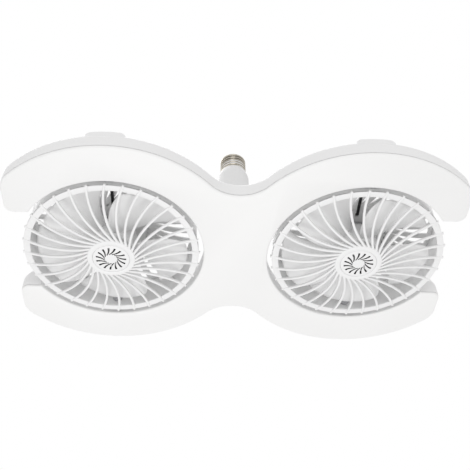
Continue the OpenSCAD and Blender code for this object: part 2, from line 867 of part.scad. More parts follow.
module motor_stator() {
    h = motor_h - 2 * case_t - 2 * bearing_seat_h - 2 * stator_play;
    color(copper) translate([0, 0, motor_z + case_t + bearing_seat_h + stator_play]) difference() {
        cylinder(r = motor_r - case_t - stator_play, h = h);
        translate([0, 0, -cut]) cylinder(r = stator_in_r, h = h + 2 * cut);
        for (i = [0 : 5]) rotate([0, 0, 60 * i])
            translate([stator_in_r + winding_gap_out, 0, -cut])
                cylinder(r = winding_gap_r, h = h + 2 * cut);
    }
}

module motor_bearings() {
    color(steel) for (z = [motor_z + case_t + bearing_play,
            motor_top - case_t - bearing_h - bearing_play])
        translate([0, 0, z]) difference() {
            cylinder(r = bearing_r, h = bearing_h);
            translate([0, 0, -cut]) cylinder(r = shaft_r + turn_gap, h = bearing_h + 2 * cut);
        }
}

module motor_screws() {
    color(steel) for_each_motor_screw() translate([0, 0, rear_z + rear_t]) mirror([0, 0, 1])
        screw(rear_t + motor_screw_grip);
}

// From the near rim along the slats, up through the plate, and back down towards the motor
module motor_lead() {
    start_y = -ring_r + ring_wall + 1;
    over_z = rear_z + rear_t + 0.1;
    color(dark) {
        translate([-lead_w / 2, start_y, lead_z])
            cube([lead_w, lead_slot_y + lead_w - start_y, lead_t]);
        translate([-lead_w / 2, lead_slot_y, lead_z])
            cube([lead_w, lead_w, over_z + lead_t - lead_z]);
        translate([-lead_w / 2, lead_slot_y, over_z])
            cube([lead_w, lead_end_y - lead_slot_y, lead_t]);
        translate([-lead_w / 2, lead_end_y - lead_w, rear_z + 0.1])
            cube([lead_w, lead_w, rear_t + lead_t]);
    }
}

module pivot_pins() {
    color(steel) for (end = [NEAR, FAR]) along_pivot(end)
        translate([0, 0, pin_start_y]) {
            cylinder(r = pin_r, h = pin_end_y - pin_start_y);
            cylinder(r = pin_r + 1.6, h = pin_head_t);
        }
}

module pivot_nuts() {
    color(steel) for (end = [NEAR, FAR]) along_pivot(end) {
        translate([0, 0, block_out + seat_gap]) difference() {
            cylinder(r = washer_r, h = washer_t);
            translate([0, 0, -cut]) cylinder(r = pin_r + turn_gap, h = washer_t + 2 * cut);
        }
        translate([0, 0, block_out + seat_gap + washer_t]) difference() {
            cylinder(r = nut_r, h = nut_t, $fn = 6);
            translate([0, 0, -cut]) cylinder(r = pin_r + turn_gap, h = nut_t + 2 * cut);
        }
    }
}

// ---- Impeller ----

// A point of the blade: u runs from root to tip, v from the leading to the trailing edge.
// The blade is widest at its tip, cambered along the chord, and twisted flatter towards the tip.
blade_rows = 8;
blade_cols = 10;
blade_lean = 14;      // angle that the tip runs ahead of the root
blade_camber = 2.2;
blade_tip_round = 0.08;
blade_root_share = 0.80;  // of the tip's span angle that the root has
blade_tip_loss = 0.28;    // share of the rise that is lost towards the tip
function blade_point(u, v, side) =
    let (
        r = blade_root_r + u * (blade_tip_r - blade_root_r),
        round_off = 1 - blade_tip_round * pow(abs(2 * v - 1), 3) * u * u,
        span = blade_span * (blade_root_share + (1 - blade_root_share) * u),
        lean = blade_lean * u * u,
        angle = (v - 0.5) * span + lean,
        camber = blade_camber * sin(180 * v),
        rise = blade_rise * (1 - blade_tip_loss * u),
        z = blade_low + (blade_rise - rise) / 2 + rise * v - camber + side * blade_t / 2
    )
    [r * round_off * cos(angle), r * round_off * sin(angle), z];

module blade() {
    n = (blade_rows + 1) * (blade_cols + 1);
    w = blade_cols + 1;
    pts = [
        for (side = [-1, 1], i = [0 : blade_rows], j = [0 : blade_cols])
            blade_point(i / blade_rows, j / blade_cols, side)
    ];
    low_faces = [
        for (i = [0 : blade_rows - 1], j = [0 : blade_cols - 1], k = [0, 1])
            let (a = i * w + j)
            k == 0 ? [a, a + 1, a + w] : [a + 1, a + w + 1, a + w]
    ];
    high_faces = [for (f = low_faces) [f[0] + n, f[2] + n, f[1] + n]];
    root_tip = [
        for (j = [0 : blade_cols - 1], k = [0, 1], i = [0, blade_rows])
            let (a = i * w + j, b = a + 1, flip = i > 0)
            k == 0 ? (flip ? [a, b, a + n] : [a, a + n, b])
                : (flip ? [b, b + n, a + n] : [b, a + n, b + n])
    ];
    edges = [
        for (i = [0 : blade_rows - 1], k = [0, 1], j = [0, blade_cols])
            let (a = i * w + j, b = a + w, flip = j > 0)
            k == 0 ? (flip ? [a, a + n, b] : [a, b, a + n])
                : (flip ? [b, a + n, b + n] : [b, b + n, a + n])
    ];
    outward = concat(low_faces, high_faces, root_tip, edges);
    polyhedron(points = pts, faces = [for (f = outward) [f[2], f[1], f[0]]]);
}

module impeller() {
    color(blade_grey) difference() {
        union() {
            difference() {
                translate([0, 0, hub_low]) cylinder(r = rotor_hub_r, h = hub_top - hub_low);
                translate([0, 0, hub_low + hub_floor])
                    cylinder(r = rotor_hub_r - hub_wall, h = hub_top);
            }
            translate([0, 0, hub_low]) cylinder(r = hub_boss_r, h = motor_z - 1 - hub_low);
            for (i = [0 : blade_count - 1]) rotate([0, 0, i * 360 / blade_count]) blade();
        }
        translate([0, 0, hub_low + shaft_seat - 0.2]) cylinder(r = hub_bore_r, h = hub_top);
    }
}

module motor_shaft() {
    low = hub_low + shaft_seat;
    color(steel) translate([0, 0, low])
        cylinder(r = shaft_r, h = motor_top - case_t - shaft_end_gap - low);
}

module motor_magnet() {
    low = motor_z + case_t + bearing_seat_h + magnet_play;
    color(dark) translate([0, 0, low]) difference() {
        cylinder(r = magnet_r, h = motor_h - 2 * (case_t + bearing_seat_h + magnet_play));
        translate([0, 0, -cut]) cylinder(r = hub_bore_r, h = motor_h);
    }
}

// ---- Nodes ----

module led_board_left() { led_board(LEFT); }
module led_board_right() { led_board(RIGHT); }
module left_near_pivot_cover() { placed_cover(LEFT, NEAR); }
module left_far_pivot_cover() { placed_cover(LEFT, FAR); }
module right_near_pivot_cover() { placed_cover(RIGHT, NEAR); }
module right_far_pivot_cover() { placed_cover(RIGHT, FAR); }

back_housing();
light_diffuser();
led_board_left();
led_board_right();
led_chips();
board_screws();
driver_board();
driver_transformer();
driver_capacitors();
neck_housing();
neck_screws();
screw_shell();
cap_insulator();
centre_contact();
mains_leads();
lamp_leads();
pivot_bushes();
left_near_pivot_cover();
left_far_pivot_cover();
right_near_pivot_cover();
right_far_pivot_cover();

at_head(LEFT) front_guard();  // left_front_guard
at_head(LEFT) hub_badge();  // left_hub_badge
at_head(LEFT) head_ring();  // left_head_ring
at_head(LEFT) rear_guard();  // left_rear_guard
at_head(LEFT) rear_screws();  // left_rear_screws
at_head(LEFT) motor_case();  // left_motor_case
at_head(LEFT) motor_stator();  // left_motor_stator
at_head(LEFT) motor_bearings();  // left_motor_bearings
at_head(LEFT) motor_screws();  // left_motor_screws
at_head(LEFT) motor_lead();  // left_motor_lead
at_head(LEFT) pivot_pins();  // left_pivot_pins
at_head(LEFT) pivot_nuts();  // left_pivot_nuts
at_head(LEFT) impeller();  // left_impeller
at_head(LEFT) motor_shaft();  // left_motor_shaft
at_head(LEFT) motor_magnet();  // left_motor_magnet

at_head(RIGHT) front_guard();  // right_front_guard
at_head(RIGHT) hub_badge();  // right_hub_badge
at_head(RIGHT) head_ring();  // right_head_ring
at_head(RIGHT) rear_guard();  // right_rear_guard
at_head(RIGHT) rear_screws();  // right_rear_screws
at_head(RIGHT) motor_case();  // right_motor_case
at_head(RIGHT) motor_stator();  // right_motor_stator
at_head(RIGHT) motor_bearings();  // right_motor_bearings
at_head(RIGHT) motor_screws();  // right_motor_screws
at_head(RIGHT) motor_lead();  // right_motor_lead
at_head(RIGHT) pivot_pins();  // right_pivot_pins
at_head(RIGHT) pivot_nuts();  // right_pivot_nuts
at_head(RIGHT) impeller();  // right_impeller
at_head(RIGHT) motor_shaft();  // right_motor_shaft
at_head(RIGHT) motor_magnet();  // right_motor_magnet
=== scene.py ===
# %% [markdown]
# # Twin-head fan light, dressed for its picture
# The solids of this fan light come packed as a frame: every node already has its place, its size
# and its joint. This lesson makes the pieces that the eye meets with Blender's own modelling
# operators and gives each surface its finish. Blender works in metres, with +Z pointing up into
# the lamp holder. Sizes are written in millimetres, as a maker writes them, and MM turns them into
# metres.

# %% Load the frame
from math import atan2, cos, degrees, hypot, pi, radians, sin, sqrt

import bmesh
import bpy
from mathutils import Matrix, Vector


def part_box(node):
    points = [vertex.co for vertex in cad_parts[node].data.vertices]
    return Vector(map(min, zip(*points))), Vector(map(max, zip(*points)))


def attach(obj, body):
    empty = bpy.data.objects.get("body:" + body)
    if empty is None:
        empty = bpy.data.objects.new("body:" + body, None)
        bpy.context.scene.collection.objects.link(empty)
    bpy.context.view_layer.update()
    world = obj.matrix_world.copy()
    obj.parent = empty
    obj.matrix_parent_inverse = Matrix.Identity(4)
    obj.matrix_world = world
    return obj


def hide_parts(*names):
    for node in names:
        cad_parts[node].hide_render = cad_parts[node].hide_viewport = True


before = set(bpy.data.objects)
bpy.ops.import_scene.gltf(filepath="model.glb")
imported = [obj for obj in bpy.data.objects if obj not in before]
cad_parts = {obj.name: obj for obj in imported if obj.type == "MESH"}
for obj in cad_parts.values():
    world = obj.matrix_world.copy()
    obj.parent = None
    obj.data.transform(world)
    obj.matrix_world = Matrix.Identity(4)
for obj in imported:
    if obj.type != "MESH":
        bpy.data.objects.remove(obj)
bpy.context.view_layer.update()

MM = 0.001
face_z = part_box("light_diffuser")[0].z
print("nodes:", len(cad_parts), "face at", round(face_z / MM, 2))

# %% [markdown]
# ## Camera
# The photograph looks up at the lamp from the near side, at about 47 degrees, with a slight turn
# to the right and a slight roll. The camera is built from those three angles rather than aimed by
# eye, so that the frame can be checked against the pixels of the picture.

# %% Camera
camera_place = (-0.0342, -0.4988, -0.6217)    # in metres
yaw, pitch, roll = radians(3.93), radians(46.67), radians(-1.64)
look = Vector((sin(yaw) * cos(pitch), cos(yaw) * cos(pitch), sin(pitch)))
level_right = Vector((cos(yaw), -sin(yaw), 0))
level_up = level_right.cross(look)
right = cos(roll) * level_right + sin(roll) * level_up
up = -sin(roll) * level_right + cos(roll) * level_up

bpy.ops.object.camera_add(location=camera_place)
camera = bpy.context.object
camera.name = "photo_camera"
camera.matrix_world = (Matrix.Translation(camera.location)
                       @ Matrix((right, up, -look)).transposed().to_4x4())
camera.data.lens = 58.08
camera.data.sensor_width = 36
bpy.context.scene.camera = camera
bpy.context.scene.view_settings.view_transform = "Standard"
print("camera looks along", tuple(round(c, 3) for c in look))

# %% [markdown]
# ## Studio
# The lamp hangs in front of plain white paper. The world is a soft grey for the light that falls
# on the object, and white only for what the camera sees, straight, mirrored or through glass, so
# the picture keeps its white ground without burning out the pale plastic. Three large soft lamps
# give the light a direction: the near walls then read a little darker than the face.


# %% Node helper
def reckon(tree, operation, *values):
    """A Math node. Each value is a number or a socket."""
    node = tree.nodes.new("ShaderNodeMath")
    node.operation = operation
    for i, value in enumerate(values):
        if isinstance(value, (int, float)):
            node.inputs[i].default_value = value
        else:
            tree.links.new(value, node.inputs[i])
    return node.outputs[0]


# %% World
def background(tree, colour, strength):
    """A Background shader of one colour."""
    node = tree.nodes.new("ShaderNodeBackground")
    node.inputs["Color"].default_value = (*colour, 1)
    node.inputs["Strength"].default_value = strength
    return node.outputs[0]


world = bpy.data.worlds.new("paper")
bpy.context.scene.world = world
world.use_nodes = True
air = world.node_tree
air.nodes.clear()
room_light = background(air, (1.0, 0.995, 0.995), 0.74)
white_paper = background(air, (1, 1, 1), 1)
rays = air.nodes.new("ShaderNodeLightPath")
seen = reckon(air, "MAXIMUM", rays.outputs["Is Camera Ray"], rays.outputs["Is Glossy Ray"])
seen = reckon(air, "MAXIMUM", seen, rays.outputs["Is Transmission Ray"])
either = air.nodes.new("ShaderNodeMixShader")
sky = air.nodes.new("ShaderNodeOutputWorld")
air.links.new(seen, either.inputs["Fac"])
air.links.new(room_light, either.inputs[1])
air.links.new(white_paper, either.inputs[2])
air.links.new(either.outputs[0], sky.inputs["Surface"])
print("world nodes:", len(air.nodes))


# %% Soft lamps
def soft_lamp(name, place, watts, side):
    """A square lamp with a side in metres, which faces the middle of the fan light."""
    bpy.ops.object.light_add(type="AREA", location=place)
    lamp = bpy.context.object
    lamp.name = name
    lamp.data.energy = watts
    lamp.data.size = side
    aim = Vector((0, 0, face_z)) - Vector(place)
    lamp.rotation_euler = aim.to_track_quat("-Z", "Y").to_euler()


soft_lamp("lamp_below", (-0.15, 0.5, -1.45), 5.7, 0.9)
soft_lamp("lamp_near", (0.0, -1.5, -0.45), 4.3, 0.8)
soft_lamp("lamp_above", (-0.3, 0.5, 1.2), 7.5, 1.0)

# %% [markdown]
# ## Modelling helpers
# Each piece starts from a primitive and is shaped in edit mode. The helpers below only spare
# typing: they deselect, name what was just added, pick vertices, edges or faces by their place,
# and put a finished piece's place into its mesh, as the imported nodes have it.


# %% Helpers for selecting
def deselect():
    """Leaves edit mode and selects nothing."""
    if bpy.context.mode != "OBJECT":
        bpy.ops.object.mode_set(mode="OBJECT")
    bpy.ops.object.select_all(action="DESELECT")


def only(piece):
    """Selects one piece alone and makes it the active one."""
    deselect()
    piece.select_set(True)
    bpy.context.view_layer.objects.active = piece


def started(name):
    """Names the primitive that was just added and opens it in edit mode, its place in its mesh."""
    piece = bpy.context.object
    piece.name = piece.data.name = name
    bpy.ops.object.transform_apply(location=True, rotation=True, scale=True)
    bpy.ops.object.mode_set(mode="EDIT")
    return piece


def pick(kind, test):
    """In edit mode, selects the vertices, edges or faces whose middle passes the test."""
    bpy.ops.mesh.select_mode(type=kind)
    bpy.ops.mesh.select_all(action="DESELECT")
    mesh = bpy.context.object.data
    bm = bmesh.from_edit_mesh(mesh)
    if kind == "VERT":
        for v in bm.verts:
            v.select = test(v.co)
    elif kind == "EDGE":
        for e in bm.edges:
            e.select = test((e.verts[0].co + e.verts[1].co) / 2)
    else:
        for f in bm.faces:
            f.select = test(f.calc_center_median(), f.normal)
    bm.select_flush_mode()
    bmesh.update_edit_mesh(mesh)


# %% Helpers for shaping in edit mode
def take_all():
    """Selects the whole mesh."""
    bpy.ops.mesh.select_all(action="SELECT")


def ended(piece):
    """Leaves edit mode and hands the piece on."""
    bpy.ops.object.mode_set(mode="OBJECT")
    return piece


def raised(height):
    """Extrudes what is selected straight up, or down where the height is negative."""
    bpy.ops.mesh.extrude_region_move(TRANSFORM_OT_translate={"value": (0, 0, height * MM)})


def inset_by(width):
    """Draws a narrower copy of the selected face inside it."""
    bpy.ops.mesh.inset(thickness=width * MM, depth=0)


def faced_out():
    """Turns all faces outwards."""
    take_all()
    bpy.ops.mesh.normals_make_consistent(inside=False)


def closed_up():
    """Merges doubled vertices and turns all faces outwards."""
    take_all()
    bpy.ops.mesh.remove_doubles(threshold=0.001 * MM)
    faced_out()


# %% Helpers for finishing
def applied(piece, kind, **settings):
    """Adds a modifier with these settings and applies it."""
    only(piece)
    modifier = piece.modifiers.new(kind.lower(), kind)
    for key, value in settings.items():
        setattr(modifier, key, value)
    bpy.ops.object.modifier_apply(modifier=modifier.name)


def cut_away(piece, cutter, operation="DIFFERENCE"):
    """A boolean with another object, which is used up."""
    applied(piece, "BOOLEAN", object=cutter, operation=operation, solver="EXACT")
    bpy.data.objects.remove(cutter)


def copied(piece, name, move=Matrix.Identity(4)):
    """A copy with its own mesh, moved by a matrix. A mirrored copy is turned right side out."""
    twin = piece.copy()
    twin.data = piece.data.copy()
    twin.name = twin.data.name = name
    bpy.context.scene.collection.objects.link(twin)
    twin.data.transform(move)
    if move.determinant() < 0:
        twin.data.flip_normals()
    return twin


def joined(first, *others):
    """Makes one object of several, under the first one's name."""
    only(first)
    for other in others:
        other.select_set(True)
    bpy.ops.object.join()
    return first


def shown(piece, body, slot, *nodes, angle=32):
    """The last step of a piece: shading, finish, the body it rides and the nodes it stands for."""
    only(piece)
    bpy.ops.object.shade_smooth_by_angle(angle=radians(angle))
    piece.data.materials.clear()
    piece.data.materials.append(finishes[slot])
    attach(piece, body)
    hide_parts(*nodes)
    print(piece.name, "faces:", len(piece.data.polygons))


# %% [markdown]
# Most round pieces are turned, as on a lathe. A circle is added at the size and height of the
# first point of the profile, and its rim is then extruded and scaled from point to point. A radius
# of zero closes an end, and a closed profile comes back to its first point and is merged there.


# %% Turning helpers
def turned(name, profile, sides=96, base=None):
    """Turns a profile of (radius, height), the height counted from the face or from a base."""
    base = face_z if base is None else base
    needle = 1e-4    # stands for a radius of zero until it is merged
    radius, height = max(profile[0][0], needle), profile[0][1]
    deselect()
    bpy.ops.mesh.primitive_circle_add(
        vertices=sides, radius=radius * MM, location=(0, 0, base + height * MM))
    piece = started(name)
    bpy.ops.mesh.select_mode(type="VERT")
    take_all()
    for r, z in profile[1:]:
        r = max(r, needle)
        raised(z - height)
        bpy.ops.transform.resize(value=(r / radius, r / radius, 1), center_override=(0, 0, 0))
        radius, height = r, z
    closed_up()
    return ended(piece)


def plug(name, radius, low, high, sides=24):
    """A plain upright bar, which cuts a hole or trims to a round."""
    return turned(name, [(0, low), (radius, low), (radius, high), (0, high)], sides)


def corner(r, z, radius, start, end, steps=4):
    """Points of a rounded corner in a profile, round the centre (r, z)."""
    turns = [radians(start + (end - start) * i / steps) for i in range(steps + 1)]
    return [(r + radius * cos(turn), z + radius * sin(turn)) for turn in turns]


def boxed(r0, z0, r1, z1, soft):
    """A closed profile of a ring with four softened edges."""
    points = (corner(r1 - soft, z0 + soft, soft, -90, 0) + corner(r1 - soft, z1 - soft, soft, 0, 90)
              + corner(r0 + soft, z1 - soft, soft, 90, 180)
              + corner(r0 + soft, z0 + soft, soft, 180, 270))
    return points + points[:1]


# %% [markdown]
# ## Finishes
# The lamp is almost all one white, so the eye lives on small things: the fine grain of moulded
# plastic, a tone that wanders a little over a large surface, and a trace of dust on what faces up.
# These effects are shared, so each is a node group, built once, with values that every material
# sets for itself. Shiny metal gets a group of its own, with faint stains and rubbing.


# %% Group helpers
def new_group(name, inputs, outputs):
    """A node group from its inputs' labels and values and its outputs' labels."""
    group = bpy.data.node_groups.new(name, "ShaderNodeTree")
    for label, value in inputs.items():
        kind = "NodeSocketColor" if isinstance(value, tuple) else "NodeSocketFloat"
        socket = group.interface.new_socket(name=label, in_out="INPUT", socket_type=kind)
        socket.default_value = value
    for label in outputs:
        kind = "NodeSocketColor" if label == "Colour" else "NodeSocketFloat"
        group.interface.new_socket(name=label, in_out="OUTPUT", socket_type=kind)
    given = group.nodes.new("NodeGroupInput").outputs
    return group, given, group.nodes.new("NodeGroupOutput").inputs


def noise(tree, scale, detail=2.0):
    """A noise on Object coordinates. The scale is in patches per metre, a number or a socket."""
    place = tree.nodes.new("ShaderNodeTexCoord")
    texture = tree.nodes.new("ShaderNodeTexNoise")
    texture.inputs["Detail"].default_value = detail
    tree.links.new(place.outputs["Object"], texture.inputs["Vector"])
    if isinstance(scale, (int, float)):
        texture.inputs["Scale"].default_value = scale
    else:
        tree.links.new(scale, texture.inputs["Scale"])
    return texture.outputs["Fac"]


def blended(tree, factor, first, second):
    """A Mix node that goes from the first colour to the second. All three are sockets."""
    node = tree.nodes.new("ShaderNodeMix")
    node.data_type = "RGBA"
    colour_a, colour_b = node.inputs[6], node.inputs[7]
    for source, target in ((factor, node.inputs["Factor"]), (first, colour_a), (second, colour_b)):
        tree.links.new(source, target)
    return node.outputs[2]


# %% Group: moulded skin
skin, given, made = new_group(
    "moulded_skin",
    {"Colour": (0.8, 0.8, 0.8, 1), "Tone Change": 0.03, "Tone Scale": 14.0, "Grain Scale": 2200.0,
     "Roughness": 0.45, "Roughness Change": 0.1, "Dust Colour": (0.55, 0.53, 0.50, 1), "Dust": 0.1},
    ("Colour", "Roughness", "Height"))
wander = reckon(skin, "SUBTRACT", noise(skin, given["Tone Scale"], 3.0), 0.5)
tinted = skin.nodes.new("ShaderNodeHueSaturation")
skin.links.new(given["Colour"], tinted.inputs["Color"])
skin.links.new(reckon(skin, "MULTIPLY_ADD", wander, given["Tone Change"], 1.0),
               tinted.inputs["Value"])
facing = skin.nodes.new("ShaderNodeNewGeometry")
upward = skin.nodes.new("ShaderNodeSeparateXYZ")
skin.links.new(facing.outputs["Normal"], upward.inputs[0])
too_steep, dust_patches = 0.25, 60.0    # dust lies on what faces up by more than this
lying = reckon(skin, "SMOOTH_MAX",
               reckon(skin, "SUBTRACT", upward.outputs["Z"], too_steep), 0.0, 0.1)
patchy = reckon(skin, "MULTIPLY", lying, noise(skin, dust_patches, 4.0))
dusty = reckon(skin, "MINIMUM", reckon(skin, "MULTIPLY", patchy, given["Dust"]), 1.0)
uneven = reckon(skin, "MULTIPLY_ADD", wander, given["Roughness Change"], given["Roughness"])
skin.links.new(blended(skin, dusty, tinted.outputs[0], given["Dust Colour"]), made["Colour"])
skin.links.new(reckon(skin, "ADD", uneven, dusty), made["Roughness"])
skin.links.new(noise(skin, given["Grain Scale"], 1.0), made["Height"])
print(skin.name, "nodes:", len(skin.nodes))

# %% Group: worn metal
worn, given, made = new_group(
    "worn_metal",
    {"Colour": (0.7, 0.7, 0.7, 1), "Stain Colour": (0.4, 0.35, 0.3, 1), "Stain": 0.2,
     "Patch Scale": 160.0, "Roughness": 0.3, "Rubbing": 0.15},
    ("Colour", "Roughness", "Height"))
stain_strength, scratch_scale = 4.0, 3200.0
patches = noise(worn, given["Patch Scale"], 5.0)
spots = reckon(worn, "SMOOTH_MAX", reckon(worn, "SUBTRACT", patches, 0.5), 0.0, 0.1)
spots = reckon(worn, "MULTIPLY", spots, given["Stain"])
stained = reckon(worn, "MINIMUM", reckon(worn, "MULTIPLY", spots, stain_strength), 1.0)
rubbed = reckon(worn, "MULTIPLY_ADD", patches, given["Rubbing"], given["Roughness"])
worn.links.new(blended(worn, stained, given["Colour"], given["Stain Colour"]), made["Colour"])
worn.links.new(rubbed, made["Roughness"])
worn.links.new(noise(worn, scratch_scale, 2.0), made["Height"])
print(worn.name, "nodes:", len(worn.nodes))

# %% [markdown]
# The slots of the hub badges and the valleys of the cap's thread get painted shade: their colour is
# darkened where the shadow falls in them. The pieces that have such places carry a mark on each face
# or point, an attribute from 0 to 1, and a third group turns the colour towards a darker shade by
# it.

# %% Group: painted shade in recesses
recess, given, made = new_group(
    "recess_shade", {"Colour": (0.8, 0.8, 0.8, 1), "Shade": (0.1, 0.1, 0.1, 1)}, ("Colour",))
painted_shade_mask = recess.nodes.new("ShaderNodeAttribute")
painted_shade_mask.attribute_name = "recess"
recess.links.new(blended(recess, painted_shade_mask.outputs["Fac"], given["Colour"], given["Shade"]),
                 made["Colour"])


def paint_recess_shade(material, shade):
    """Paints shade into a material: its colour turns darker where its piece carries the
    painted-shade mark.
    """
    tree = material.node_tree
    base = tree.nodes["Principled BSDF"].inputs["Base Color"]
    effect = tree.nodes.new("ShaderNodeGroup")
    effect.node_tree = recess
    effect.inputs["Shade"].default_value = (*shade, 1)
    tree.links.new(base.links[0].from_socket, effect.inputs["Colour"])
    tree.links.new(effect.outputs["Colour"], base)


def mark_painted_shade(piece, domain, marks):
    """Writes the painted-shade mark, from 0 to 1, for each point or face of a piece."""
    piece.data.attributes.new("recess", "FLOAT", domain).data.foreach_set("value", marks)


# %% Materials from the groups
finishes = {}


def finish_from(name, group, values, depth, **shader):
    """A Principled material: the group's values vary over it, the shader's own stay constant."""
    material = bpy.data.materials.new(name)
    material.use_nodes = True
    nodes, links = material.node_tree.nodes, material.node_tree.links
    shiny = nodes["Principled BSDF"]
    for label, value in shader.items():
        shiny.inputs[label].default_value = value
    effect = nodes.new("ShaderNodeGroup")
    effect.node_tree = group
    for label, value in values.items():
        effect.inputs[label].default_value = (*value, 1) if isinstance(value, tuple) else value
    bump = nodes.new("ShaderNodeBump")
    bump.inputs["Strength"].default_value = 1.0
    bump.inputs["Distance"].default_value = depth * MM
    links.new(effect.outputs["Colour"], shiny.inputs["Base Color"])
    links.new(effect.outputs["Roughness"], shiny.inputs["Roughness"])
    links.new(effect.outputs["Height"], bump.inputs["Height"])
    links.new(bump.outputs["Normal"], shiny.inputs["Normal"])
    finishes[name] = material
    return material


def plastic(name, colour, roughness=0.45, tone=0.03, dust=0.2, grain=2200.0, depth=0.012):
    """Moulded plastic with a fine grain of this depth."""
    return finish_from(name, skin, {
        "Colour": colour, "Roughness": roughness, "Tone Change": tone, "Dust": dust,
        "Grain Scale": grain}, depth)


def metal(name, colour, roughness=0.3, stain=0.2, stain_colour=(0.35, 0.30, 0.24)):
    """Bare or plated metal with very fine scratches."""
    return finish_from(name, worn, {
        "Colour": colour, "Roughness": roughness, "Stain": stain, "Stain Colour": stain_colour},
        depth=0.004, Metallic=1.0)


# %% The finishes
plastic("body_white", (0.86, 0.86, 0.86))
plastic("opal_face", (0.92, 0.92, 0.915), 0.38, 0.015, 0.0, grain=1500.0, depth=0.004)
# The neck is the same white plastic as the body, its colour made greyer as painted shade.
plastic("neck_grey", (0.77, 0.77, 0.77), 0.5)
plastic("guard_white", (0.90, 0.90, 0.90), 0.4)
plastic("badge_white", (0.90, 0.90, 0.90), 0.4)
plastic("blade_grey", (0.84, 0.84, 0.84), 0.4)
plastic("board_white", (0.86, 0.87, 0.84), 0.5, dust=0.1)
plastic("chip_yellow", (0.86, 0.72, 0.16), 0.35, 0.10, 0.1)
plastic("circuit_green", (0.04, 0.20, 0.09), 0.35, 0.25)
plastic("winding_yellow", (0.80, 0.62, 0.12), 0.4, 0.15)
plastic("capacitor_black", (0.03, 0.03, 0.035), 0.3, 0.2)
plastic("insulator_black", (0.022, 0.02, 0.022), 0.25, 0.3)
plastic("lead_black", (0.015, 0.015, 0.017), 0.45, 0.3, 0.3)
plastic("bush_black", (0.03, 0.03, 0.03), 0.4, 0.3)
plastic("magnet_dark", (0.05, 0.05, 0.055), 0.6, 0.3)
metal("screw_steel", (0.62, 0.62, 0.64), 0.28)
metal("motor_steel", (0.58, 0.58, 0.60), 0.34)
metal("winding_copper", (0.80, 0.38, 0.18), 0.32)
metal("cap_nickel", (0.50, 0.465, 0.405), 0.16, 0.35, (0.25, 0.20, 0.12))
metal("contact_brass", (0.80, 0.62, 0.32), 0.28, 0.4)
# Painted shade: the badge slots and the cap's thread valleys turn towards these dark colours.
paint_recess_shade(finishes["badge_white"], (0.035, 0.035, 0.035))
paint_recess_shade(finishes["cap_nickel"], (0.06, 0.05, 0.035))
print("finishes:", len(finishes))

# %% [markdown]
# The floor is a wide sheet of pale paper, far enough below for the camera to look past it.

# %% Floor
floor_side, floor_z = 9, -1.7    # in metres
deselect()
bpy.ops.mesh.primitive_plane_add(size=floor_side, location=(0, 0, floor_z))
floor = started("paper_floor")
bpy.ops.mesh.subdivide(number_cuts=8)
ended(floor)
floor.data.materials.append(plastic("floor_paper", (0.86, 0.86, 0.86), 0.8, 0.01, 0.0))
print("floor at", floor_z)

# %% [markdown]
# ## The body's outline
# Body and light face share one outline, an hourglass whose two round openings are cut through at
# the ends, so that a pair of arms reaches round each head. On a real mould this is one template.
# Here a single vertex is carried along it: extruded for each straight stretch and spun for each
# arc. Drawn inside the template by an inset, the same walk gives the light face and the hollow
# behind it.

# %% Sizes of the outline
head_at = 114.8    # from the lamp's middle to the middle of a head
opening_r, lobe_r = 86.2, 122.0    # inner and outer edge of the arms
half_waist, half_mouth = 72.0, 47.5
tip_reach = 90.7    # from a head's middle to the ends of its arms
tip_r, tip_small_r = 22.0, 8.0    # outer and inner corner of an arm's end
waist_r = (head_at ** 2 + half_waist ** 2 - lobe_r ** 2) / (2 * (lobe_r - half_waist))
waist_y = half_waist + waist_r
tip_x = tip_reach - tip_r
tip_y = sqrt((lobe_r - tip_r) ** 2 - tip_x ** 2)
small_x, small_y = tip_reach - tip_small_r, half_mouth + tip_small_r
waist_turn = degrees(atan2(head_at, waist_y))
tip_turn = degrees(atan2(tip_y, tip_x))
lobe_turn = 180 - tip_turn - (90 - waist_turn)
waist_steps, lobe_steps, tip_steps, small_steps, opening_steps = 12, 34, 12, 8, 96
print("waist radius", round(waist_r, 2), "tip corner at", round(tip_x, 2), round(tip_y, 2))


# %% The walk
def carry_round(centre, turn, steps):
    """Spins what is selected about an upright line. A positive turn is counterclockwise."""
    bpy.ops.mesh.spin(steps=steps, angle=radians(turn), axis=(0, 0, -1),
                      center=(centre[0] * MM, centre[1] * MM, 0))


def carry_to(x, y):
    """Extrudes the selected vertex in a straight line."""
    bm = bmesh.from_edit_mesh(bpy.context.object.data)
    here = next(v.co for v in bm.verts if v.select)
    bpy.ops.mesh.extrude_region_move(
        TRANSFORM_OT_translate={"value": (x * MM - here.x, y * MM - here.y, 0)})


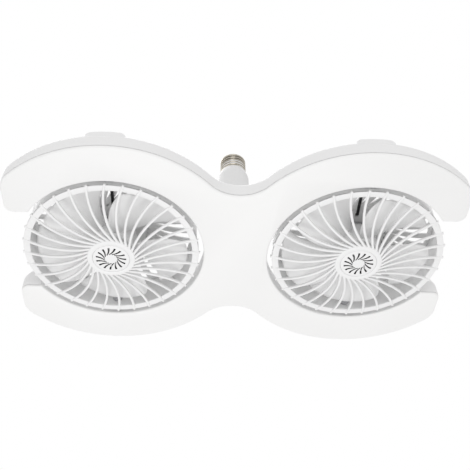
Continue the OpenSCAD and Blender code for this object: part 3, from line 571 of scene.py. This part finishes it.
def hourglass(name, inset, z, reach=0.0):
    """The filled outline at height z, inside the template by inset, its openings less by reach."""
    deselect()
    bpy.ops.mesh.primitive_plane_add(size=MM, location=(0, 0, face_z + z * MM))
    piece = started(name)
    pick("VERT", lambda p: p.x > 0 or p.y > 0)
    bpy.ops.mesh.delete(type="VERT")
    take_all()
    bpy.ops.transform.translate(value=(0.5 * MM, 0.5 * MM - (half_waist - inset) * MM, 0))
    mouth = half_mouth + inset
    mouth_x = sqrt((opening_r + inset - reach) ** 2 - mouth ** 2)
    opening_turn = 360 - 2 * degrees(atan2(mouth, mouth_x))
    for s in (1, -1):    # the right head, then the left one
        carry_round((0, -s * waist_y), -waist_turn, waist_steps)
        carry_round((s * head_at, 0), lobe_turn, lobe_steps)
        carry_round((s * (head_at + tip_x), -s * tip_y), tip_turn, tip_steps)
        carry_to(s * (head_at + tip_reach - inset), -s * small_y)
        carry_round((s * (head_at + small_x), -s * small_y), 90, small_steps)
        carry_to(s * (head_at + mouth_x), -s * mouth)
        carry_round((s * head_at, 0), -opening_turn, opening_steps)
        carry_to(s * (head_at + small_x), s * mouth)
        carry_round((s * (head_at + small_x), s * small_y), 90, small_steps)
        carry_to(s * (head_at + tip_reach - inset), s * tip_y)
        carry_round((s * (head_at + tip_x), s * tip_y), tip_turn, tip_steps)
        carry_round((s * head_at, 0), lobe_turn, lobe_steps)
        carry_round((0, s * waist_y), -waist_turn, waist_steps)
    take_all()
    bpy.ops.mesh.remove_doubles(threshold=0.02 * MM)
    take_all()
    bpy.ops.mesh.edge_face_add()
    return piece


def at_height(z, slack=0.01):
    """A test for what lies at this height above the face."""
    return lambda p: abs(p.z - face_z - z * MM) < slack * MM


# %% [markdown]
# ## Body shell
# The body is a shallow moulded tray, open below. Its outline is filled and raised to the top of
# the side wall, and the broad shoulder is then built in eight steps: the top is extruded a little
# and its outer edge drawn in along a quarter circle. A plain bevel would also round the openings
# by 7 mm, so the edge is drawn in by its place instead: all of it outside, less and less along the
# small corner of an arm, and only a trace round an opening. The hollow is pushed in from below in
# two steps, so that it keeps clear of the shoulder.

# %% Body: raise the wall
rim_low, wall_h, shoulder_r, wall = 2.3, 13.0, 7.0, 2.0
body_h = wall_h + shoulder_r
shell = hourglass("body_shell", 0, rim_low)
raised(wall_h - rim_low)
print("wall raised by", wall_h - rim_low)


# %% Body: shoulder
def drawn_in(x, y, depth, soft):
    """Where a point of the outline goes when the outer edge is drawn in by depth."""
    sx, sy = (1 if x > 0 else -1), (1 if y > 0 else -1)
    x, y = abs(x) - head_at, abs(y)    # now counted from the middle of the right head
    if hypot(x, y) < opening_r + 0.05:    # on an opening: it grows a little
        x, y = x * (opening_r + soft) / opening_r, y * (opening_r + soft) / opening_r
    elif x > small_x - 0.01 and y < small_y + 0.01:    # small corner of an arm
        x = small_x + (x - small_x) * (tip_small_r - depth) / tip_small_r
    elif x > tip_x and y < tip_y:    # straight end of an arm
        x -= depth
    elif atan2(y - tip_y, x - tip_x) < atan2(tip_y, tip_x) + 0.001 and x > tip_x:
        x = tip_x + (x - tip_x) * (tip_r - depth) / tip_r    # large corner of an arm
        y = tip_y + (y - tip_y) * (tip_r - depth) / tip_r
    elif x + head_at < head_at * waist_r / (waist_r + lobe_r) - 0.01:   # waist
        grown = (waist_r + depth) / waist_r
        x = (x + head_at) * grown - head_at
        y = waist_y + (y - waist_y) * grown
    else:    # round back of an arm
        x, y = x * (lobe_r - depth) / lobe_r, y * (lobe_r - depth) / lobe_r
    return sx * (x + head_at), sy * y


walls = [tuple(v.co) for v in bmesh.from_edit_mesh(shell.data).verts if v.select]
shoulder_steps, last_ring = 8, 0.4    # the last ring keeps the back's shading flat
for step in range(1, shoulder_steps + 2):
    angle = pi / 2 * min(1, step / shoulder_steps)
    flat = last_ring if step > shoulder_steps else 0
    depth, soft = shoulder_r * (1 - cos(angle)) + flat, max(0, 1 - 6 * (1 - sin(angle))) + flat
    bpy.ops.mesh.extrude_region_move()
    top = bmesh.from_edit_mesh(shell.data)
    for v, (x, y, _) in zip([v for v in top.verts if v.select], walls):
        nx, ny = drawn_in(x / MM, y / MM, depth, soft)
        v.co = (nx * MM, ny * MM, face_z + (wall_h + shoulder_r * sin(angle)) * MM)
    bmesh.update_edit_mesh(shell.data)
faced_out()

# %% Body: hollow
pick("FACE", lambda p, n: n.z < -0.9 and at_height(rim_low)(p))
inset_by(wall)
raised(wall_h - rim_low)
inset_by(shoulder_r / 2)
raised(body_h - wall - wall_h)
ended(shell)
print("shell:", len(shell.data.polygons), "faces")

# %% [markdown]
# ## Posts, pivot blocks and openings in the shell
# The boards are screwed to round posts that hang from the tray's back, and each head turns in two
# blocks beside its opening. They are moulded with the tray, so they are united with it. The holes
# are cut with simple cutters: the passage to the neck with its screw holes first, and after the
# blocks a notch for every pivot cover and a bush hole through every block.


# %% Small makers
def brick(name, low, high, soft=0.0):
    """A box between two corners, heights counted from the face, its edges softened."""
    middle = [(a + b) / 2 * MM for a, b in zip(low, high)]
    deselect()
    bpy.ops.mesh.primitive_cube_add(size=MM, location=(middle[0], middle[1], face_z + middle[2]),
                                    scale=[b - a for a, b in zip(low, high)])
    piece = started(name)
    if soft:
        bpy.ops.mesh.bevel(offset=soft * MM, segments=2)
    return ended(piece)


def rod(name, radius, start, end, sides=48):
    """A round bar along Y at the pivots' height, from y = start to y = end."""
    deselect()
    bpy.ops.mesh.primitive_cylinder_add(
        vertices=sides, radius=radius * MM, depth=(end - start) * MM, rotation=(pi / 2, 0, 0),
        location=(0, (start + end) / 2 * MM, face_z + pivot_z * MM))
    return ended(started(name))


def at_pivots(piece):
    """Four copies of a piece that is drawn at the far pivot of a head in the middle."""
    copies = []
    for side in (-1, 1):
        for end in (-1, 1):
            move = Matrix.Translation((side * head_at * MM, 0, 0)) @ Matrix.Diagonal((1, end, 1, 1))
            copies.append(copied(piece, f"{piece.name}_{len(copies)}", move))
    bpy.data.objects.remove(piece)
    return copies


def spread(piece, places):
    """Copies of a piece at these places (x, y), joined as one."""
    copies = [copied(piece, f"{piece.name}_{i}", Matrix.Translation((x * MM, y * MM, 0)))
              for i, (x, y) in enumerate(places)]
    bpy.data.objects.remove(piece)
    return joined(*copies)


def round_about(radius, angles):
    """Places on a circle, for spread."""
    return [(radius * cos(radians(a)), radius * sin(radians(a))) for a in angles]


# %% Body: passage to the neck
passage_r, neck_screw_at = 17.2, 20.2
clear_r, pilot_r = 1.6, 1.4    # holes that a screw passes, or grips in
at_corners, at_thirds = (45, 135, 225, 315), (90, 210, 330)
through_back = (15, 22)    # heights on both sides of the tray's back
passage = plug("passage", passage_r, *through_back, 96)
neck_holes = spread(plug("neck_hole", clear_r, *through_back),
                    round_about(neck_screw_at, at_corners))
cut_away(shell, joined(passage, neck_holes))
print("shell with passage:", len(shell.data.polygons))

# %% Body: posts and blocks
pivot_z, block_w, block_low, block_top = 13.0, 16.0, 7.65, 19.15
block_out = opening_r + 10
board_top, board_mid_r, driver_top = 7.2, (opening_r + lobe_r) / 2, 15.0
board_post_at, driver_post_x, driver_post_y = (62, 118, 150, 210, 242, 298), 16.2, 36
post_r, post_top = 3, body_h - wall / 2
board_posts = spread(
    turned("board_post", [(0, board_top + 6), (pilot_r, board_top + 6), (pilot_r, board_top),
                          (post_r - 0.3, board_top), (post_r, board_top + 0.3), (post_r, post_top),
                          (0, post_top)], 24),
    [(s * (head_at + x), y) for s in (-1, 1) for x, y in round_about(board_mid_r, board_post_at)])
driver_posts = spread(
    turned("driver_post", [(0, driver_top + 3), (pilot_r, driver_top + 3), (pilot_r, driver_top),
                           (post_r, driver_top), (post_r, post_top), (0, post_top)], 24),
    [(x, y) for x in (-driver_post_x, driver_post_x) for y in (-driver_post_y, driver_post_y)])
block = brick("pivot_block", (-block_w / 2, opening_r - 1, block_low),
              (block_w / 2, block_out, block_top), 0.4)
cut_away(block, plug("block_cut", opening_r + wall / 2, 0, 30, 192))
cut_away(shell, joined(board_posts, driver_posts), "UNION")
cut_away(shell, joined(*at_pivots(block)), "UNION")
print("shell with posts:", len(shell.data.polygons))

# %% Body: cutting
cover_w, cover_front, cover_top, nest = 34.0, lobe_r - 1.2, 23.5, 0.15
bush_r = 5.0
notch = brick("notch", (-cover_w / 2 - nest, opening_r - wall, wall_h),
              (cover_w / 2 + nest, lobe_r, 30))
cut_away(notch, plug("notch_front", cover_front + nest, 5, 40, 192), "INTERSECT")
cut_away(notch, plug("notch_keep", opening_r + wall, 5, 40, 192))
cut_away(shell, joined(*at_pivots(notch)))
cut_away(shell, joined(*at_pivots(rod("bush_hole", bush_r, opening_r - 4, block_out + 4))))
shown(shell, "housing", "body_white", "back_housing")

# %% [markdown]
# ## Light face
# The whole underside is one opal panel. Its lip lies over the body's rim, so that only a fine gap
# line shows at the side wall, and an upstand inside the wall holds it. It is the same outline,
# raised as a lip, drawn in and raised again for the upstand. A shallow hollow is pushed in from
# behind, and the lower edge is bevelled soft. The lip also reaches a little way into the round
# openings.

# %% Light face
face_gap, face_t, upstand = 0.15, 1.8, 5.0
lip, lip_in, lip_reach, face_edge = 1.75, 0.1, 1.2, 1.5
light_face = hourglass("light_face", lip_in, 0, lip_reach)
raised(lip)
faced_out()
pick("FACE", lambda p, n: n.z > 0.9)
inset_by(wall + face_gap - lip_in)
raised(upstand - lip)
inset_by(face_t)
raised(face_t - upstand)
pick("EDGE", at_height(0))
bpy.ops.mesh.bevel(offset=face_edge * MM, segments=5)
ended(light_face)
shown(light_face, "housing", "opal_face", "light_diffuser")

# %% [markdown]
# ## Pivot covers
# Four small caps close the arms over the tilt pivots, just inside the rounded shoulder. One is
# made from a box: its upper side edges are bevelled wide and the front a little, and bisect cuts
# it into strips, so that it can be bent to the round of the arm. The round inner side and the room
# for the pivot are then cut out. The other three are mirrored copies.

# %% Pivot covers: block
cover_back, cover_low = opening_r - 1, wall_h + nest
side_round, front_round, strip = 5, 1.2, 3
deselect()
bpy.ops.mesh.primitive_cube_add(
    size=MM, scale=(cover_w, cover_front - cover_back, cover_top - cover_low),
    location=(0, (cover_back + cover_front) / 2 * MM, face_z + (cover_low + cover_top) / 2 * MM))
cover = started("pivot_cover")
pick("EDGE", lambda p: at_height(cover_top)(p) and abs(p.x) > cover_w * 0.45 * MM)
bpy.ops.mesh.bevel(offset=side_round * MM, segments=8)
pick("EDGE", lambda p: abs(p.y - cover_front * MM) < 0.01 * MM and not at_height(cover_low)(p))
bpy.ops.mesh.bevel(offset=front_round * MM, segments=4)
for x in range(-3 * strip, 3 * strip + 1, strip):
    take_all()
    bpy.ops.mesh.bisect(plane_co=(x * MM, 0, 0), plane_no=(1, 0, 0))
for v in ended(cover).data.vertices:    # bent to a circle round the head's axis
    v.co.y -= cover_front * MM - sqrt((cover_front * MM) ** 2 - v.co.x ** 2)
print("cover strips:", len(cover.data.polygons), "faces")

# %% Pivot covers: hollow and copies
cover_in, cover_wall = opening_r + wall + nest, 1.8
room = brick("room", (-cover_w / 2 + cover_wall, cover_in + 1.9, wall_h - 2),
             (cover_w / 2 - cover_wall, cover_front - 2.6, cover_top - cover_wall))
cut_away(room, brick("block_room", (-block_w / 2 - 0.3, opening_r - 3, wall_h - 2),
                     (block_w / 2 + 0.3, block_out + 0.5, block_top + 0.3)), "UNION")
cut_away(cover, room)
cut_away(cover, plug("round_side", cover_in, 5, 40, 192))
for piece, name in zip(at_pivots(cover), ("left_near", "left_far", "right_near", "right_far")):
    piece.name = piece.data.name = f"{name}_cover"
    shown(piece, "housing", "body_white", f"{name}_pivot_cover")

# %% [markdown]
# ## Neck
# A hollow turret stands on the middle of the back and narrows with a round shoulder to the stem
# that carries the lamp cap. It is a turned piece, inside and out, so one closed profile makes all
# of it: the flange with a bead round its edge, the turret, the stem with its collar, and the
# spigot for the cap, and back down inside.

# %% Neck
neck_top = -face_z / MM
stem_r, turret_r, flange_r, spigot_r = 15.8, 25.2, 28.2, 12.55
turret_h, neck_wall, spigot_top = 27, 2, neck_top + 12
collar_low, flange_top = neck_top - 9, body_h + 2.5
turret_round = turret_r - stem_r
round_z = body_h + turret_h - turret_round
neck_profile = (
    [(passage_r, body_h)] + corner(flange_r - 0.4, body_h + 0.4, 0.4, -90, 0, 2)
    + corner(flange_r, flange_top - 0.8, 0.8, 0, 90, 3)[1:]
    + [(turret_r + 1, flange_top), (turret_r + 0.3, flange_top + 0.3), (turret_r, flange_top + 1)]
    + corner(stem_r, round_z, turret_round, 0, 84, 14)
    + [(stem_r + 0.6, 47.25), (stem_r + 0.1, 47.9), (stem_r, 49), (stem_r, collar_low - 0.6)]
    + [(stem_r - 0.15, collar_low + 0.6), (13.5, neck_top - 0.5), (13.25, neck_top)]
    + [(spigot_r, neck_top), (spigot_r, spigot_top - 0.5), (spigot_r - 0.3, spigot_top)]
    + [(spigot_r - neck_wall, spigot_top), (spigot_r - neck_wall, neck_top - 2)]
    + [(11.3, neck_top - 2), (stem_r - neck_wall, collar_low)]
    + corner(stem_r, round_z, turret_round - neck_wall, 105, 0, 11)[1:]
    + [(turret_r - neck_wall, flange_top), (passage_r, flange_top), (passage_r, body_h)])
neck = turned("neck", neck_profile)
cut_away(neck, spread(plug("neck_pilot", pilot_r, body_h - 1, flange_top + 1),
                      round_about(neck_screw_at, at_corners)))
shown(neck, "housing", "neck_grey", "neck_housing")

# %% [markdown]
# ## Lamp cap
# The E27 shell is thin nickel-plated brass with a round rolled thread of 3.63 mm pitch. No turned
# profile gives a helix, so the shell is turned with many fine rings first, and each vertex is then
# moved inwards by the thread's wave at its height and angle. The wave fades out at both ends. A
# black insulator and the brass centre contact, two plain turned pieces, close the shell.

# %% Screw shell
cap_r, cap_len, cap_t = 13.2, 19.0, 0.5
thread_pitch, thread_depth, thread_low, thread_high, thread_fade = 3.63, 1.15, 1.2, 18.6, 1.8
rings = 80
outer = [(cap_r, cap_len * i / rings) for i in range(rings + 1)]
crown = [(12.5, 19.9), (11.0, 21.3), (9.9, 22.2), (9.5, 22.5)]
crown += [(9.0, 22.5), (10.6, 20.9), (12.3, 19.2)]    # and back down inside
inner = [(r - cap_t, z) for r, z in reversed(outer[1:-1])] + [(cap_r - cap_t, 0), (cap_r, 0)]
screw_shell = turned("screw_shell_threaded", outer + crown + inner, 120, base=0)
for v in screw_shell.data.vertices:
    z, radius = v.co.z / MM, hypot(v.co.x, v.co.y) / MM
    fade = max(0.0, min(1.0, (z - thread_low) / thread_fade, (thread_high - z) / thread_fade))
    turn_at = z / thread_pitch - atan2(v.co.y, v.co.x) / (2 * pi)
    depth = thread_depth * (0.5 - 0.5 * sin(2 * pi * turn_at)) * fade
    v.co.x *= (radius - depth) / radius
    v.co.y *= (radius - depth) / radius
# Painted shade in the thread: the mark is the depth of the valley, darkest at its bottom.
painted_valley_shade = [(cap_r - hypot(v.co.x, v.co.y) / MM) / thread_depth for v in screw_shell.data.vertices]
mark_painted_shade(screw_shell, "POINT", [min(1.0, max(0.0, share)) for share in painted_valley_shade])
shown(screw_shell, "housing", "cap_nickel", "screw_shell", angle=50)

# %% Insulator and contact
insulator = turned("insulator", [(0, 21), (8.6, 21), (8.85, 21.3), (8.85, 22.5), (9.3, 22.55)]
                   + [(9.2, 23.0), (8.4, 23.6), (7.2, 24.2), (6.3, 24.7), (5.6, 25.1), (0, 25.1)],
                   base=0)
shown(insulator, "housing", "insulator_black", "cap_insulator", angle=40)
contact = turned("contact", [(0, 25.1), (4.6, 25.1), (4.8, 25.3), (4.8, 25.8), (4.5, 26.1)]
                 + [(3.4, 26.45), (2.4, 26.5), (2.0, 26.75), (1.2, 26.88), (0, 26.9)], 64, base=0)
shown(contact, "housing", "contact_brass", "centre_contact", angle=40)

# %% [markdown]
# ## Fan heads
# Both heads are alike, so each piece is modelled once with its axis through the middle and copied
# to both openings. What shows most is the front guard: 32 thin ribs that sweep like a pinwheel
# from a flat rim to a hub ring, over a face that is slightly domed. A rib is a rounded bar. Its
# section is made from a small square, spun about the centre of the rib's own bend, and the bar is
# then laid on the dome by its distance from the axis.


# %% Swirling bars
def arc_centre(a, b, radius):
    """Centre of an arc from a to b, on the left of the way between them."""
    middle, way = (a + b) / 2, b - a
    return middle + Vector((-way.y, way.x)) / way.length * sqrt(radius ** 2 - way.length ** 2 / 4)


def swirl_bar(name, r_in, r_out, sweep, bend, size, soft, steps, z=0.0):
    """A bar of (width, height), bent in plan from r_out on the X axis to r_in at angle sweep."""
    a = Vector((r_out, 0))
    b = Vector((r_in * cos(radians(sweep)), r_in * sin(radians(sweep))))
    centre = arc_centre(b, a, bend) if sweep > 0 else arc_centre(a, b, bend)
    start, end = a - centre, b - centre
    turn = degrees(atan2(start.x * end.y - start.y * end.x, start.dot(end)))
    deselect()
    bpy.ops.mesh.primitive_plane_add(
        size=MM, rotation=(pi / 2, 0, atan2(start.y, start.x)),
        location=(a.x * MM, a.y * MM, face_z + (z + size[1] / 2) * MM))
    bpy.context.object.scale = (*size, 1)    # a plane ignores the operator's own scale
    bar = started(name)
    bpy.ops.mesh.bevel(offset=soft * MM, segments=3, affect="VERTICES")
    bpy.ops.mesh.delete(type="ONLY_FACE")
    bpy.ops.mesh.select_mode(type="EDGE")
    take_all()
    carry_round(centre, turn, steps)
    take_all()
    bpy.ops.mesh.fill_holes(sides=0)
    closed_up()
    return ended(bar)


def ringed(piece, count, first=0.0):
    """Copies of a piece turned about the head's axis, joined as one."""
    turns = [Matrix.Rotation(radians(first + i * 360 / count), 4, "Z") for i in range(count)]
    copies = [copied(piece, f"{piece.name}_{i}", turn) for i, turn in enumerate(turns)]
    bpy.data.objects.remove(piece)
    return joined(*copies)


def on_both_heads(piece, name, body, slot, *nodes, angle=32):
    """Sends a piece that was modelled in the middle to both heads."""
    for side, sign in (("left", -1), ("right", 1)):
        twin = copied(piece, f"{side}_{name}", Matrix.Translation((sign * head_at * MM, 0, 0)))
        shown(twin, f"{side}_{body}", slot, *[f"{side}_{n}" for n in nodes], angle=angle)
    bpy.data.objects.remove(piece)


# %% Front guard: ribs on the dome
guard_r, rim_in_r, hub_ring_r = 80.4, 74.4, 22.0
hub_z, dome_flat = -7.4, 789.0    # a rib rises by the square of its radius over this
hub_front = hub_z - 0.6
rib_count, rib_first, rib_sweep, rib_bend, rib_size = 32, 10.3, 23, 90, (2.3, 2.6)
rib = swirl_bar("rib", hub_ring_r - 1.5, guard_r + 1.3, rib_sweep, rib_bend, rib_size, 0.85, 20)
for v in rib.data.vertices:
    v.co.z += (hub_z + ((v.co.x ** 2 + v.co.y ** 2) / MM ** 2 - hub_ring_r ** 2) / dome_flat) * MM
ribs = ringed(rib, rib_count, rib_first)
print("ribs:", rib_count)

# %% Front guard: rim, skirt and hub ring
rim = turned("rim", boxed(rim_in_r, 0.6, guard_r, 2.8, 0.5), 160)
skirt = turned("skirt", boxed(guard_r - 2, 0.9, guard_r, 5.6, 0.4), 160)
hub_in, hub_back, step_r, step_back = 15.3, hub_front + 4, 17.15, hub_front + 1.6
hub_ring = turned(
    "hub_ring", [(hub_in, hub_back), (hub_in, step_back), (step_r, step_back)]
    + [(step_r, hub_front + 0.3)] + corner(step_r + 0.3, hub_front + 0.3, 0.3, 180, 270, 2)[1:]
    + corner(21.1, hub_front + 0.9, 0.9, -90, 0, 4) + corner(21.5, hub_back - 0.5, 0.5, 0, 90, 2)
    + [(hub_in, hub_back)], 96)
guard = joined(ribs, rim, skirt, hub_ring)
on_both_heads(guard, "guard", "head", "guard_white", "front_guard", angle=40)

# %% [markdown]
# The disc in the hub ring is pierced by 15 short slots that lean the other way. The slots are bars
# of the same kind, used as cutters. Each narrows towards the middle, so that they stay apart
# there.

# %% Hub badge
badge_r, badge_back_r, badge_back = 17, 15, hub_front + 3.8
slot_count, slot_steps, slot_taper = 15, 8, 0.5
slot_sweep, slot_bend, slot_size = -32, 14, (1.8, 8)
# Faces inside this radius and behind this height are the slots' walls and back, which get painted
# shade.
slot_out, slot_z = 14.8, hub_front + 0.3    # faces inside this radius and behind this are slots
badge = turned("badge", [(0, hub_front)] + corner(badge_r - 0.5, hub_front + 0.5, 0.5, -90, 0, 3)
               + [(badge_r, step_back), (badge_back_r, step_back), (badge_back_r, badge_back)]
               + [(0, badge_back)], 96)
slot = swirl_bar("slot", 5.8, 13.9, slot_sweep, slot_bend, slot_size, 0.4, slot_steps,
                 z=hub_front - 2)
points = list(slot.data.vertices)
around = len(points) // (slot_steps + 1)
for k in range(slot_steps + 1):
    section = points[k * around:(k + 1) * around]
    x, y = (sum(v.co[i] for v in section) / around for i in (0, 1))
    share = 1 - slot_taper * k / slot_steps
    for v in section:
        v.co.x, v.co.y = x + (v.co.x - x) * share, y + (v.co.y - y) * share
cut_away(badge, ringed(slot, slot_count))
# The slots' faces get the painted-shade mark, so they are coloured darker.
mark_painted_shade(badge, "FACE", [
    float(hypot(f.center.x, f.center.y) < slot_out * MM and f.center.z > face_z + slot_z * MM)
    for f in badge.data.polygons])
on_both_heads(badge, "badge", "head", "badge_white", "hub_badge")

# %% [markdown]
# The head's side wall is a plain ring with the two pivot bosses and four screw posts. Behind it
# sits the rear guard: a rim, a plate for the motor and 34 slats, again as swirling bars.

# %% Head ring
ring_r, ring_low, ring_top, post_at = 78.25, 3.1, 32.1, 74.25
pin_hole_r, boss_r, boss_out = 3.02, 7.0, 84.5
ring = turned("ring", boxed(ring_r - 1.8, ring_low, ring_r, ring_top, 0.3), 160)
post = turned("post", [(0, 24), (pilot_r, 24), (pilot_r, ring_top), (2.6, ring_top), (2.6, 18.5)]
              + [(2.2, 18.1), (0, 18.1)], 24)
cut_away(ring, spread(post, round_about(post_at, at_corners)), "UNION")
boss = rod("boss", boss_r, ring_r - 1.2, boss_out, 64)
cut_away(boss, rod("boss_hole", pin_hole_r, 60, 95))
far_boss = copied(boss, "far_boss", Matrix.Diagonal((1, -1, 1, 1)))
cut_away(ring, joined(boss, far_boss), "UNION")
cut_away(ring, rod("pin_hole", pin_hole_r, -86, 86))
on_both_heads(ring, "ring", "head", "guard_white", "head_ring")

# %% Rear guard
rear_top, motor_screw_at = 34.6, 12
cut_low, cut_high = 31, 36    # heights on both sides of the rim and the plate
rear_rim = turned("rear_rim", boxed(ring_r - 5.5, ring_top, ring_r, rear_top, 0.4), 160)
cut_away(rear_rim, spread(plug("rim_hole", clear_r, cut_low, cut_high),
                          round_about(post_at, at_corners)))
plate = turned("plate", [(0, ring_top)] + corner(29.6, ring_top + 0.4, 0.4, -90, 0, 2)
               + corner(29.2, rear_top - 0.8, 0.8, 0, 90, 3) + [(0, rear_top)], 96)
plate_holes = spread(plug("plate_hole", clear_r, cut_low, cut_high),
                     round_about(motor_screw_at, at_thirds))
lead_slot, lead_slots_at = 3.6, (-27.3, -8.3)    # its side, and where each begins along Y
for y in lead_slots_at:
    plate_holes = joined(plate_holes, brick("lead_slot", (-lead_slot / 2, y, cut_low),
                                            (lead_slot / 2, y + lead_slot, cut_high)))
cut_away(plate, plate_holes)
slat_count, slat_sweep, slat_bend, slat_size = 34, -26, 70, (5.6, 2.3)
slat_low = ring_top + 0.1    # no two faces may lie in one plane
slat = swirl_bar("slat", 29, ring_r - 1, slat_sweep, slat_bend, slat_size, 0.6, 14, z=slat_low)
rear = joined(ringed(slat, slat_count), rear_rim, plate)
on_both_heads(rear, "rear", "head", "guard_white", "rear_guard")

# %% [markdown]
# ## Impeller
# Five broad blades stand on a cup that reaches up round the motor. A blade is a grid: its columns
# run from the root to the tip and its rows from the leading to the trailing edge. Each point is
# placed by a few sweeping rules (span, lean, rise and camber), and the sheet then gets its
# thickness from a Solidify modifier and round edges from a subdivision.

# %% Blade
root_r, blade_tip_r, tip_round = 20.2, 71.0, 0.04
blade_count, blade_first, blade_lean = 5, 8, 14    # angles in degrees
root_span, tip_span, root_rise, tip_rise = 59.4, 60.72, 15, 10.8    # degrees, then heights
blade_low, blade_camber, blade_t = 4, 2.2, 1.6
deselect()
bpy.ops.mesh.primitive_grid_add(x_subdivisions=12, y_subdivisions=14, size=1)
blade = ended(started("blade"))
for v in blade.data.vertices:
    u, w = v.co.x + 0.5, v.co.y + 0.5    # from root to tip, and from edge to edge
    r = (root_r + u * (blade_tip_r - root_r)) * (1 - tip_round * abs(2 * w - 1) ** 3 * u * u)
    span, rise = root_span + u * (tip_span - root_span), root_rise + u * (tip_rise - root_rise)
    angle = radians((w - 0.5) * span + blade_lean * u * u)
    z = blade_low + (root_rise - rise) / 2 + rise * w - blade_camber * sin(pi * w)
    v.co = (r * cos(angle) * MM, r * sin(angle) * MM, face_z + z * MM)
applied(blade, "SOLIDIFY", thickness=blade_t * MM, offset=0)
applied(blade, "SUBSURF", levels=1, render_levels=1)
blades = ringed(blade, blade_count, blade_first)
print("blades:", blade_count)

# %% Hub of the impeller
hub = turned("hub", [(0, 2.2)] + corner(18.5, 4.7, 2.5, -90, 0, 6)
             + [(21, 24.7), (20.7, 25.05), (19.7, 25.05), (19.4, 24.7), (19.4, 4.6), (19.0, 4.2)]
             + [(4, 4.2), (4, 15.05), (1.52, 15.05), (1.52, 3.2), (0, 3.2)])
on_both_heads(joined(blades, hub), "fan", "rotor", "blade_grey", "impeller", angle=40)

# %% [markdown]
# ## Screws and leads
# Small cross-head screws hold the rear guard and the motor. One is turned and its cross is cut
# with two crossing bricks. The black lead that shows near each near pivot is a flat pair of cores,
# bent up through the motor plate.


# %% Screws
def screw(name, length, top):
    """A screw whose head lies on the height top."""
    body = turned(name, [(0, top - length), (0.6, top - length), (1.3, top - length + 1.2)]
                  + [(1.35, top), (2.6, top), (2.6, top + 0.35), (2.3, top + 0.85)]
                  + [(1.6, top + 1.12), (0, top + 1.2)], 32)
    for size in ((1.3, 0.25), (0.25, 1.3)):
        cut_away(body, brick("cross", (-size[0], -size[1], top + 0.35), (*size, top + 2)))
    return body


rear_screws = spread(screw("rear_screw", 8.5, rear_top), round_about(post_at, at_corners))
on_both_heads(rear_screws, "rear_fixings", "head", "screw_steel", "rear_screws")
motor_screws = spread(screw("motor_screw", 4.5, rear_top), round_about(motor_screw_at, at_thirds))
on_both_heads(motor_screws, "motor_fixings", "head", "screw_steel", "motor_screws")


# %% Motor lead
core_r = 0.72
lead_route = [(-75.4, 31), (-26.9, 31), (-25.5, 32.2), (-25.5, 34.2), (-24.2, 35.7), (-7.8, 35.7),
              (-6.5, 34.4), (-6.5, 32.3)]    # (y, z), in the plane of the head's axis


def core(name, x):
    """One core of the lead, a tube along the route."""
    curve = bpy.data.curves.new(name, "CURVE")
    curve.dimensions = "3D"
    line = curve.splines.new("POLY")
    line.points.add(len(lead_route) - 1)
    for point, (y, z) in zip(line.points, lead_route):
        point.co = (x * MM, y * MM, face_z + z * MM, 1)
    curve.bevel_depth = core_r * MM
    curve.bevel_resolution = 2
    curve.use_fill_caps = True
    tube = bpy.data.objects.new(name, curve)
    bpy.context.scene.collection.objects.link(tube)
    only(tube)
    bpy.ops.object.convert(target="MESH")
    return bpy.context.object


lead = joined(core("core_a", -core_r), core("core_b", core_r))
on_both_heads(lead, "lead", "head", "lead_black", "motor_lead", angle=60)

# %% [markdown]
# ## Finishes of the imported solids
# The boards, the motor's inner parts, pins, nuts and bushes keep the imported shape, and each gets
# the finish of its real material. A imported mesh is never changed: only its material slots are
# filled.

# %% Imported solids
packed = {
    "board_white": ["led_board_left", "led_board_right"],
    "chip_yellow": ["led_chips"],
    "circuit_green": ["driver_board"],
    "winding_yellow": ["driver_transformer"],
    "capacitor_black": ["driver_capacitors"],
    "screw_steel": ["board_screws", "neck_screws"],
    "lead_black": ["mains_leads", "lamp_leads"],
    "bush_black": ["pivot_bushes"],
}
in_each_head = {
    "motor_steel": ["motor_case", "motor_bearings", "motor_shaft", "pivot_pins"],
    "winding_copper": ["motor_stator"],
    "magnet_dark": ["motor_magnet"],
    "screw_steel": ["pivot_nuts"],
}
for finish, names in in_each_head.items():
    packed.setdefault(finish, []).extend(f"{side}_{n}" for side in ("left", "right") for n in names)
for finish, names in packed.items():
    for name in names:
        slots_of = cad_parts[name].data.materials
        if not len(slots_of):
            slots_of.append(finishes[finish])
        for i in range(len(slots_of)):
            slots_of[i] = finishes[finish]
print("packed solids finished:", sum(len(n) for n in packed.values()))

# %% [markdown]
# ## End
# The last cell brings the view layer up to date. The dressed lamp has to stay inside the box of the
# imported solids.

# %% End
bpy.context.view_layer.update()
